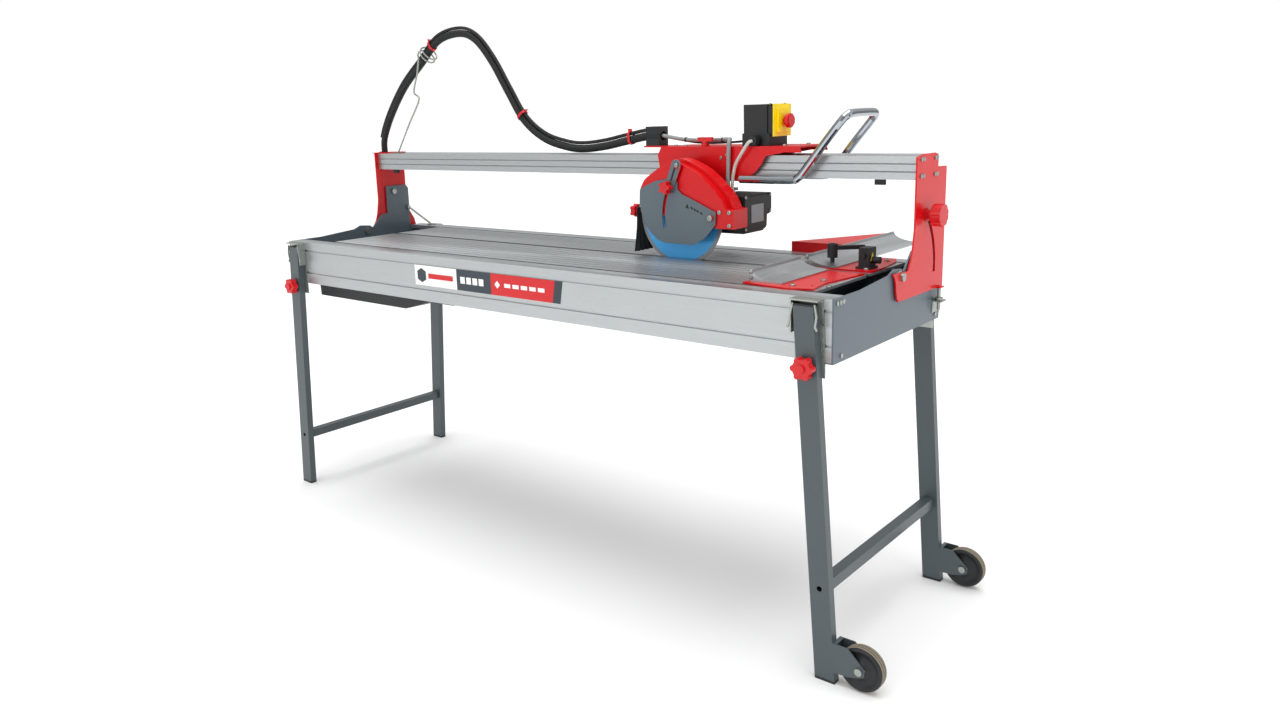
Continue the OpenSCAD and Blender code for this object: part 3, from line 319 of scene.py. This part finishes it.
def flowing(points, per_gap):
    """A smooth line through the given points."""
    line = []
    for i in range(len(points) - 1):
        a, b = points[max(i - 1, 0)], points[i]
        c, d = points[i + 1], points[min(i + 2, len(points) - 1)]
        for j in range(per_gap):
            t = j / per_gap
            line.append(0.5 * (2 * b + (c - a) * t + (2 * a - 5 * b + 4 * c - d) * t * t
                               + (3 * b - a - 3 * c + d) * t ** 3))
    return line + [points[-1]]


def evenly(line, gap):
    """The same line with points at an even distance."""
    out, left = [line[0]], gap
    for a, b in zip(line, line[1:]):
        span = (b - a).length
        done = 0.0
        while span - done >= left:
            done += left
            out.append(a.lerp(b, done / span))
            left = gap
        left -= span - done
    return out + [line[-1]]


def swept(bm, line, radius_at, sides=16):
    """A closed tube along a line; its radius may change from point to point."""
    side = Vector((0, 1, 0))
    rings = []
    for i, p in enumerate(line):
        ahead = (line[min(i + 1, len(line) - 1)] - line[max(i - 1, 0)]).normalized()
        side = (side - ahead * side.dot(ahead)).normalized()
        up = ahead.cross(side)
        r = radius_at(i)
        turns = [2 * math.pi * k / sides for k in range(sides)]
        rings.append([bm.verts.new(p + r * (math.cos(a) * side + math.sin(a) * up)) for a in turns])
    for a, b in zip(rings, rings[1:]):
        for k in range(sides):
            bm.faces.new([a[k], a[(k + 1) % sides], b[(k + 1) % sides], b[k]])
    bm.faces.new(rings[0])
    bm.faces.new(list(reversed(rings[-1])))


def beside(line, gap):
    """The line shifted sideways in the upright plane that it runs in."""
    out = []
    for i, p in enumerate(line):
        ahead = (line[min(i + 1, len(line) - 1)] - line[max(i - 1, 0)]).normalized()
        out.append(p + gap * Vector((-ahead.z, 0, ahead.x)))
    return out


def bolt_heads(name, body, places, axis, radius, height):
    """Round socket heads with a six-sided recess, one at each place, all on one body."""
    bm = bmesh.new()
    inner = 0.45 * radius
    recess = 0.46 * radius
    point = 0.001 * radius
    for p in places:
        lathe(bm, [(0, inner), (0, radius), (0.6 * height, radius), (height, 0.8 * radius), (height, inner)],
              p, axis, 20)
        lathe(bm, [(0, point), (0, recess), (0.5 * height, recess), (0.5 * height, point)], p, axis, 6)
    return new_piece(name, bm, materials()["zinc"], body)


def oblong(x0, z0, x1, z1):
    """The corners of an upright oblong."""
    return [(x0, z0), (x1, z0), (x1, z1), (x0, z1)]


# ---------------------------------------------------------------- pieces


class SAW_OT_cad_finishes(bpy.types.Operator):
    """Gives each listed CAD node its finish and breaks the sharp edges of the listed round ones"""

    bl_idname = "saw.cad_finishes"
    bl_label = "Finish the CAD nodes"

    def execute(self, context):
        made = materials()
        edge = context.scene.saw_sizes.edge
        for finish, names in FINISH_OF_NODE.items():
            for name in names.split():
                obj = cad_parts[name]
                obj.data.materials.clear()
                obj.data.materials.append(made[finish])
        for name in ROUND_NODES.split():
            rounded(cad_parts[name], edge)
        return {"FINISHED"}


# the loom's line seen from the front, from the wire on the left to the saddle's clamp
LOOM_ROUTE = [(-981, 1061), (-975, 1108), (-928, 1183), (-845, 1273), (-746, 1346), (-660, 1408),
              (-559, 1424), (-486, 1401), (-419, 1334), (-355, 1242), (-292, 1156), (-211, 1102),
              (-120, 1077), (-52, 1072), (25, 1079), (99, 1092), (171, 1104), (224, 1106)]
# shares of the loom's length where the strapped tube begins and ends
TUBE_SHARES = (0.03, 0.985)
# shares of the loom's length where the ties sit; then the band's half width, its inner and outer
# distance from the hoses, the length of its tail and the steps round it
TIE_SHARES = (0.30, 0.635, 0.93)
TIE_HALF = 4 * MM
TIE_GAP = 0.8 * MM
TIE_REACH = 2.2 * MM
TIE_TAIL = 9 * MM
TIE_STEPS = 40


def loom_tie(bm, centre, ahead, radius, small):
    """One band round the hose and the tube strapped to it, with its tail."""
    side = Vector((-ahead.z, 0, ahead.x))
    shift = small * side
    turn = ahead.to_track_quat("Z", "Y")
    across = turn.inverted() @ side
    section = [(-TIE_HALF, TIE_GAP), (TIE_HALF, TIE_GAP), (TIE_HALF, TIE_REACH), (-TIE_HALF, TIE_REACH)]
    rings = []
    for k in range(TIE_STEPS):
        a = 2 * math.pi * k / TIE_STEPS
        out = Vector((math.cos(a), math.sin(a), 0))
        reach = radius + abs(small * out.dot(across))
        rings.append([bm.verts.new(centre + shift + turn @ (out * (reach + gap) + Vector((0, 0, z))))
                      for z, gap in section])
    for ring, after in zip(rings, rings[1:] + rings[:1]):
        for j in range(4):
            bm.faces.new([ring[j], after[j], after[(j + 1) % 4], ring[(j + 1) % 4]])
    tip = centre + shift + side * (radius + small)
    corners = ((-1, -1), (1, -1), (1, 1), (-1, 1))
    extruded(bm, [tip + Vector((dx, dy, 0)) * TIE_HALF for dx, dy in corners], side * TIE_TAIL)


class SAW_OT_loom(bpy.types.Operator):
    """Builds the ribbed hose, the tube strapped to it and the ties"""

    bl_idname = "saw.loom"
    bl_label = "Hose loom"

    def execute(self, context):
        sizes = context.scene.saw_sizes
        made = materials()
        y = (middle("rail") - FRAME_CENTRE).y / MM
        r = sizes.loom_diameter / 2
        small = sizes.side_tube / 2
        # four points to a rib: two in the groove, two on the crest
        line = evenly(flowing([at(x, y, z) for x, z in LOOM_ROUTE], 12), sizes.rib_pitch / 4)
        groove = 0.9 * MM
        bm = bmesh.new()
        swept(bm, line, lambda i: r - (groove if i % 4 in (0, 1) else 0), 18)
        hose = new_piece("ribbed_hose", bm, made["rubber"], None, True)
        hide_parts("hose_loom")
        span = len(line)
        first, last = (int(span * share) for share in TUBE_SHARES)
        inner = beside(line[first:last], r + small + 0.6 * MM)
        bm = bmesh.new()
        swept(bm, inner[::4], lambda i: small, 14)
        tube = new_piece("strapped_tube", bm, made["rubber"], None, True)
        bm = bmesh.new()
        for share in TIE_SHARES:
            i = int(span * share)
            loom_tie(bm, line[i], (line[i + 1] - line[i - 1]).normalized(), r, small)
        ties = new_piece("red_ties", bm, made["knob"], None)
        # the real loom is held by the bridge up to the start point and carried by the trolley from the end
        # point on; here each piece only has its placement baked into its mesh
        for piece in (hose, tube, ties):
            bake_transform(piece)
        return {"FINISHED"}


class SAW_OT_head_lines(bpy.types.Operator):
    """Builds the cable and water tubes from the clamp to the switch, motor and guard"""

    bl_idname = "saw.head_lines"
    bl_label = "Head lines"

    def execute(self, context):
        made = materials()
        grey = [(231, 148, 1106), (308, 146, 1095), (393, 142, 1094), (454, 124, 1096), (480, 86, 1094),
                (483, 79, 1074), (481, 79, 1010), (482, 79, 977), (482, 83, 967)]
        black = [(231, 162, 1102), (334, 162, 1087), (434, 158, 1087), (505, 146, 1092)]
        white = [(548, 81, 1093), (542, 73, 1088), (522, 73, 1062), (502, 77, 1032), (493, 79, 985),
                 (496, 83, 967)]
        done = []
        for name, route, radius, finish in (("grey_cable", grey, 5, "cable"),
                                            ("thin_cable", black, 3, "rubber"),
                                            ("water_tube", white, 4, "tube")):
            line = flowing([at(*p) for p in route], 10)
            bm = bmesh.new()
            swept(bm, line, lambda i: radius * MM, 14)
            done.append(new_piece(name, bm, made[finish], None, True))
        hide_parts("head_lines")
        bm = bmesh.new()
        half, inner, outer = 2 * MM, 5.1 * MM, 6.3 * MM
        for place in (at(308, 146, 1095), at(430, 134, 1094)):
            lathe(bm, [(-half, inner), (half, inner), (half, outer), (-half, outer)], place,
                  Vector((1, 0, 0)), 20)
        done.append(new_piece("cable_ties", bm, made["black"], "trolley"))
        for piece in done[:3]:
            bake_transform(piece)
        return {"FINISHED"}


class SAW_OT_curtain(bpy.types.Operator):
    """Builds the ribbed rubber splash curtain that hangs behind the blade"""

    bl_idname = "saw.curtain"
    bl_label = "Splash curtain"

    def execute(self, context):
        made = materials()
        low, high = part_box("splash_curtain")
        y_mid = (middle("curtain_knob") - FRAME_CENTRE).y / MM
        x0 = (low - FRAME_CENTRE).x / MM
        top, bottom = high.z / MM, low.z / MM
        thick = 2.5
        fold_height = 3.2
        top_half, flare = 17, 30
        rows, cols = 24, 48
        bm = bmesh.new()
        sheets = []
        for back in (0, 1):
            grid = []
            for i in range(rows + 1):
                s = i / rows
                z = top + (bottom - top) * s
                half = top_half + flare * max(0.0, s - 0.15) ** 1.3
                centre = y_mid + 2 + 15 * max(0.0, s - 0.2)
                line = []
                for k in range(cols + 1):
                    t = 2 * k / cols - 1
                    fold = fold_height * (0.3 + 0.7 * s) * math.cos(t * math.pi * 4.5)
                    wave = 0.6 * math.sin(7 * t + 5 * s)
                    x = x0 + thick - fold + wave + thick * (0.5 if back else -0.5)
                    line.append(bm.verts.new(at(x, centre + half * t, z)))
                grid.append(line)
            sheets.append(grid)
        for grid in sheets:
            for i in range(rows):
                for k in range(cols):
                    bm.faces.new([grid[i][k], grid[i][k + 1], grid[i + 1][k + 1], grid[i + 1][k]])
        a, b = sheets
        rim = [(0, k) for k in range(cols)] + [(i, cols) for i in range(rows)] \
            + [(rows, k) for k in range(cols, 0, -1)] + [(i, 0) for i in range(rows, 0, -1)]
        for (i, k), (m, n) in zip(rim, rim[1:] + rim[:1]):
            bm.faces.new([a[i][k], a[m][n], b[m][n], b[i][k]])
        flaps = new_piece("curtain_flaps", bm, made["rubber"], "head", True)
        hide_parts("splash_curtain")
        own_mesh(flaps)
        return {"FINISHED"}


class SAW_OT_decals(bpy.types.Operator):
    """Lays the coloured film on the front profile and the small labels on the head"""

    bl_idname = "saw.decals"
    bl_label = "Printed film"

    def execute(self, context):
        made = materials()
        thick = context.scene.saw_sizes.sheet
        # the printed face lies a little behind the lips of the front profile; marks lie on the film
        face = (FRONT_LOW - FRAME_CENTRE).y / MM + 1.0
        on_top = 0.4
        low_edge, high_edge = 721, 777

        def film(name, finish, shapes, lift=0.0):
            bm = bmesh.new()
            for outline in shapes:
                extruded(bm, [at(x, face - lift, z) for x, z in outline], Vector((0, -thick, 0)))
            return new_piece(name, bm, made[finish], "frame")

        film("film_white", "paper", [oblong(-329, low_edge, -155, high_edge)])
        film("film_slate", "slate",
             [oblong(-155, low_edge, -22, high_edge),
              [(196, low_edge), (222, low_edge), (232, high_edge), (206, high_edge)]])
        hexagon = [(-318, 738), (-300, 729), (-282, 738), (-282, 760), (-300, 769), (-318, 760)]
        film("film_hexagon", "slate", [hexagon], on_top)
        slanted = [(-22, low_edge), (196, low_edge), (206, high_edge), (-22, high_edge)]
        film("film_red", "film_red", [slanted])
        film("film_stripe", "film_red", [oblong(-272, 742, -170, 756)], on_top)
        squares = [oblong(-140 + 24 * i, 740, -122 + 24 * i, 758) for i in range(4)]
        diamond = [(-8, 749), (2, 759), (12, 749), (2, 739)]
        bars = [oblong(28 + 30 * i, 744, 50 + 30 * i, 754) for i in range(5)]
        film("film_marks", "paper", squares + [diamond] + bars, on_top)
        low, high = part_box("motor_box")
        bm = bmesh.new()
        y0, z0 = low.y + 32 * MM, low.z + 24 * MM
        plate = oblong(y0, z0, y0 + 56 * MM, z0 + 44 * MM)
        extruded(bm, [Vector((high.x, y, z)) for y, z in plate], Vector((thick, 0, 0)))
        new_piece("rating_plate", bm, made["plate"], "head")
        bm = bmesh.new()
        face_y = (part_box("guard_cover")[0] - FRAME_CENTRE).y / MM
        outwards = Vector((0, -thick, 0))
        # a row of small marks that runs down to the right, with an arrow head at its upper end
        fall = 0.42
        for start in (0, 9, 17, 28):
            extruded(bm, [at(432 + start + x, face_y, 936 - fall * (start + x) + z)
                          for x, z in oblong(0, 0, 6, 5)], outwards)
        extruded(bm, [at(416 + x, face_y, 938 + z) for x, z in ((0, 0), (11, -3), (6, 9))], outwards)
        new_piece("cover_marks", bm, made["rubber"], "cover")
        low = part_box("laser_module")[0]
        centre = middle("laser_module")
        bm = bmesh.new()
        front = low.x + 32 * MM
        z = low.z + 18 * MM
        triangle = ((-9, 0), (11, 0), (1, 20))
        extruded(bm, [Vector((front, centre.y + y * MM, z + up * MM)) for y, up in triangle],
                 Vector((thick, 0, 0)))
        new_piece("warning_triangle", bm, made["yellow"], "frame")
        return {"FINISHED"}


# the two thin levers of a latch at the right-hand end, seen from the front
LATCH_LEVERS = (
    [(919, 796), (922, 795), (927, 772), (924, 752), (928, 745), (925, 742), (920, 750), (923, 771)],
    [(871, 796), (874, 795), (869, 772), (866, 754), (862, 744), (859, 747), (862, 756), (865, 773)],
)


class SAW_OT_latches(bpy.types.Operator):
    """Builds the thin zinc latch levers beside the leg tops"""

    bl_idname = "saw.latches"
    bl_label = "Leg latches"

    def execute(self, context):
        made = materials()
        for side, stand in ((1, "right"), (-1, "left")):
            for row, place in ((-1, "front"), (1, "rear")):
                bm = bmesh.new()
                thickness = Vector((0, -3 * row, 0)) * MM
                for lever in LATCH_LEVERS:
                    extruded(bm, [at(side * x, 289 * row, z) for x, z in lever], thickness)
                new_piece(f"{stand}_{place}_latch", bm, made["zinc"], "frame")
        return {"FINISHED"}


class SAW_OT_wheels(bpy.types.Operator):
    """Builds the wheels with a dished black hub and a layered tread"""

    bl_idname = "saw.wheels"
    bl_label = "Wheels"

    def execute(self, context):
        made = materials()
        for name, body in (("front_wheel", "front_roller"), ("rear_wheel", "rear_roller")):
            low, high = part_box(name)
            centre = (low + high) / 2
            r = (high.z - low.z) / 2
            half = (high.y - low.y) / 2
            w = half - 1.5 * MM
            bm = bmesh.new()
            for along in (-0.52 * w, 0, 0.52 * w):
                side = 2 * MM
                ring = [(along - side, r - 4 * MM), (along - side, r - 0.3 * MM), (along, r),
                        (along + side, r - 0.3 * MM), (along + side, r - 4 * MM)]
                lathe(bm, ring, centre, Vector((0, 1, 0)), 72)
            tread = new_piece(name + "_tread", bm, made["tread"], body, True)
            bm = bmesh.new()
            # dished web and boss of one face, the same mirrored on the other, and the rim between them
            face = [(w, r - 5 * MM), (w - 0.8 * MM, r - 9 * MM), (w - 4 * MM, r - 11 * MM),
                    (w - 4 * MM, 21 * MM), (w - 1 * MM, 18 * MM), (half - 1 * MM, 14 * MM),
                    (half, 12 * MM), (half, 5.1 * MM)]
            rim = [(w - 1 * MM, r - 2 * MM), (0.8 * w, r - 1 * MM), (-0.8 * w, r - 1 * MM),
                   (-w + 1 * MM, r - 2 * MM)]
            hub = [(-z, out) for z, out in face] + face[::-1] + rim
            lathe(bm, hub, centre, Vector((0, 1, 0)), 72)
            new_piece(name + "_hub", bm, made["black"], body, True)
            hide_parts(name)
        return {"FINISHED"}


class SAW_OT_hardware(bpy.types.Operator):
    """Adds the socket heads that the eye finds on the plates"""

    bl_idname = "saw.hardware"
    bl_label = "Small hardware"

    def execute(self, context):
        up = Vector((0, 0, 1))
        forward = Vector((0, -1, 0))
        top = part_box("stop_base")[1].z
        base = [(818, -193), (890, -173), (846, -113), (858, 62), (846, 195), (730, 60), (730, -20)]
        bolt_heads("stop_base_screws", "frame", [at(x, y, top / MM) for x, y in base], up, 6 * MM, 4 * MM)
        saddle_low, saddle_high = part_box("carriage")
        seats = [(300, 112), (330, 112), (420, 180), (620, 110), (640, 190)]
        bolt_heads("saddle_screws", "trolley", [at(x, y, saddle_high.z / MM) for x, y in seats], up,
                   5 * MM, 4 * MM)
        sides = [(455, 1052), (472, 1060), (452, 1000)]
        bolt_heads("saddle_side_screws", "trolley",
                   [Vector((at(x, 0, z).x, saddle_low.y, at(x, 0, z).z)) for x, z in sides], forward,
                   4 * MM, 3 * MM)
        bolt_heads("guard_screws", "head", [at(x, -6, z) for x, z in ((540, 929), (540, 898), (512, 929))],
                   forward, 5 * MM, 3.5 * MM)
        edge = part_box("motor_box")[1].x
        corners = [(70, 880), (70, 958), (182, 958), (182, 918)]
        bolt_heads("motor_screws", "head", [Vector((edge, at(0, y, 0).y, z * MM)) for y, z in corners],
                   Vector((1, 0, 0)), 4 * MM, 2.5 * MM)
        # two bolts one above the other at the left end of each fence
        for name, fence, height in (("fence_end_bolts", "front_fence", 6 * MM),
                                    ("fence_gap_bolts", "rear_fence", 5 * MM)):
            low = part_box(fence)[0]
            bolt_heads(name, "frame", [low + Vector((2.2, 0, z)) * MM for z in (8, 20)], forward,
                       4 * MM, height)
        return {"FINISHED"}


class SAW_OT_cover_arm(bpy.types.Operator):
    """Builds the slotted arm that holds the guard cover, with its two bolts"""

    bl_idname = "saw.cover_arm"
    bl_label = "Cover arm"

    def execute(self, context):
        made = materials()
        forward = Vector((0, -1, 0))
        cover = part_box("guard_cover")[0].y
        pivot = at(491, 0, 915)
        bolt_heads("cover_pivot_bolt", "head", [Vector((pivot.x, cover - 5.2 * MM, pivot.z))], forward,
                   7.2 * MM, 3 * MM)
        knob = middle("cover_knob")
        top = at(391, 0, 1040)
        line = Vector((top.x - knob.x, 0, top.z - knob.z))
        along = math.atan2(line.z, line.x)
        # a flat bar with round ends, just in front of the cover
        gap, thickness, end_radius, steps = 0.25 * MM, 3 * MM, 13.7 * MM, 32
        rim = []
        for centre, begin in ((top, along - math.pi / 2), (knob, along + math.pi / 2)):
            for k in range(steps + 1):
                a = begin + math.pi * k / steps
                rim.append(Vector((centre.x, cover - gap, centre.z))
                           + end_radius * Vector((math.cos(a), 0, math.sin(a))))
        bm = bmesh.new()
        extruded(bm, rim, forward * thickness)
        arm = new_piece("cover_arm", bm, made["grey"], "head")
        rounded(arm, 0.4 * MM)
        # the slot, drawn as a dark strip of painted shade on the bar between two shares of its length
        first, last = 0.3, 0.95
        start = Vector((knob.x, cover - gap - thickness - 0.01 * MM, knob.z))
        side = Vector((-line.z, 0, line.x)).normalized() * 2.6 * MM
        bm = bmesh.new()
        extruded(bm, [start + line * first + side, start + line * last + side,
                      start + line * last - side, start + line * first - side], forward * 0.15 * MM)
        new_piece("cover_arm_slot_painted_shade", bm, made["rubber"], "head")
        bolt_heads("cover_arm_bolt", "head", [Vector((top.x + 3 * MM, cover - 5 * MM, top.z))], forward,
                   5.4 * MM, 3 * MM)
        return {"FINISHED"}


class SAW_OT_stage(bpy.types.Operator):
    """Builds the pale studio floor, soft lights and the camera"""

    bl_idname = "saw.stage"
    bl_label = "Studio"

    def execute(self, context):
        scene = context.scene
        floor_colour = finish_of("studio floor", linear("#F8F8F8"), 0.7, 0, 0.05, 0.01, 40, bump=0.0)
        bm = bmesh.new()
        reach = 80
        bm.faces.new([bm.verts.new(Vector((x, y, 0))) for x, y in oblong(-reach, -reach, reach, reach)])
        data = bpy.data.meshes.new("floor")
        bm.to_mesh(data)
        bm.free()
        data.materials.append(floor_colour)
        floor = bpy.data.objects.new("floor", data)
        scene.collection.objects.link(floor)
        world = bpy.data.worlds.new("studio")
        world.use_nodes = True
        sky = world.node_tree
        # white where the camera looks, softer and darker near the horizon for what the metal mirrors
        place = node(sky, "ShaderNodeTexCoord")
        parts = node(sky, "ShaderNodeSeparateXYZ", Vector=place.outputs["Generated"])
        rise = node(sky, "ShaderNodeMapRange",
                    {"From Min": 0.0, "From Max": 0.7, "To Min": 0.3, "To Max": 0.85},
                    Value=parts.outputs["Z"])
        seen = node(sky, "ShaderNodeLightPath")
        mixed = node(sky, "ShaderNodeMix", {"data_type": "FLOAT"})
        sky.links.new(seen.outputs["Is Camera Ray"], mixed.inputs[0])
        sky.links.new(rise.outputs["Result"], mixed.inputs[2])
        mixed.inputs[3].default_value = 1.0
        background = sky.nodes["Background"]
        background.inputs["Color"].default_value = (1, 1, 1, 1)
        sky.links.new(mixed.outputs[0], background.inputs["Strength"])
        scene.world = world
        aim = Vector((0, 0, 0.8))
        for name, place, size, power in (("front", (-0.5, -5.5, 2.4), 3.0, 55),
                                         ("right", (5.5, -1.0, 2.2), 2.5, 30)):
            data = bpy.data.lights.new(name, "AREA")
            data.size = size
            data.energy = power
            light = bpy.data.objects.new(name, data)
            light.location = place
            light.rotation_mode = "QUATERNION"
            light.rotation_quaternion = (aim - light.location).to_track_quat("-Z", "Y")
            scene.collection.objects.link(light)
        data = bpy.data.lights.new("ceiling", "SUN")
        data.energy = 1.75
        data.angle = math.radians(55)
        light = bpy.data.objects.new("ceiling", data)
        light.location = (0, 0, 6)
        scene.collection.objects.link(light)
        data = bpy.data.cameras.new("camera")
        data.sensor_width = 36
        data.lens = 27.23
        data.shift_x = 0.0206
        data.shift_y = -0.0296
        camera = bpy.data.objects.new("camera", data)
        # turned left of straight back, tipped down, and rolled a little about the line of sight
        heading, down, roll = math.radians(40.48), math.radians(12.28), math.radians(1.9)
        ahead = Vector((-math.sin(heading) * math.cos(down), math.cos(heading) * math.cos(down),
                        -math.sin(down)))
        right = Vector((math.cos(heading), math.sin(heading), 0))
        below = ahead.cross(right)
        right_rolled = right * math.cos(roll) + below * math.sin(roll)
        below_rolled = below * math.cos(roll) - right * math.sin(roll)
        turn = Matrix((right_rolled, -below_rolled, -ahead)).transposed().to_4x4()
        eye = at(1812.85, -1932.16, 1173.08)
        camera.matrix_world = Matrix.Translation(eye) @ turn
        scene.collection.objects.link(camera)
        scene.camera = camera
        scene.view_settings.view_transform = "Standard"
        return {"FINISHED"}


class SAW_PT_panel(bpy.types.Panel):
    """Sizes, colours and the steps that dress the saw"""

    bl_idname = "SAW_PT_panel"
    bl_label = "Tile saw"
    bl_space_type = "VIEW_3D"
    bl_region_type = "UI"
    bl_category = "Tile saw"

    def draw(self, context):
        for group in (context.scene.saw_sizes, context.scene.saw_colours):
            for name in group.__annotations__:
                self.layout.prop(group, name)
        for operator in OPERATORS:
            self.layout.operator(operator.bl_idname)


OPERATORS = (SAW_OT_cad_finishes, SAW_OT_loom, SAW_OT_head_lines, SAW_OT_curtain, SAW_OT_decals,
             SAW_OT_latches, SAW_OT_wheels, SAW_OT_hardware, SAW_OT_cover_arm, SAW_OT_stage)
CLASSES = (SawColours, SawSizes) + OPERATORS + (SAW_PT_panel,)


def register():
    for cls in CLASSES:
        bpy.utils.register_class(cls)
    bpy.types.Scene.saw_colours = bpy.props.PointerProperty(type=SawColours)
    bpy.types.Scene.saw_sizes = bpy.props.PointerProperty(type=SawSizes)


def unregister():
    del bpy.types.Scene.saw_colours
    del bpy.types.Scene.saw_sizes
    for cls in reversed(CLASSES):
        bpy.utils.unregister_class(cls)


def main():
    register()
    bpy.ops.saw.cad_finishes()
    bpy.ops.saw.loom()
    bpy.ops.saw.head_lines()
    bpy.ops.saw.curtain()
    bpy.ops.saw.decals()
    bpy.ops.saw.latches()
    bpy.ops.saw.wheels()
    bpy.ops.saw.hardware()
    bpy.ops.saw.cover_arm()
    bpy.ops.saw.stage()


if __name__ == "__main__":
    main()
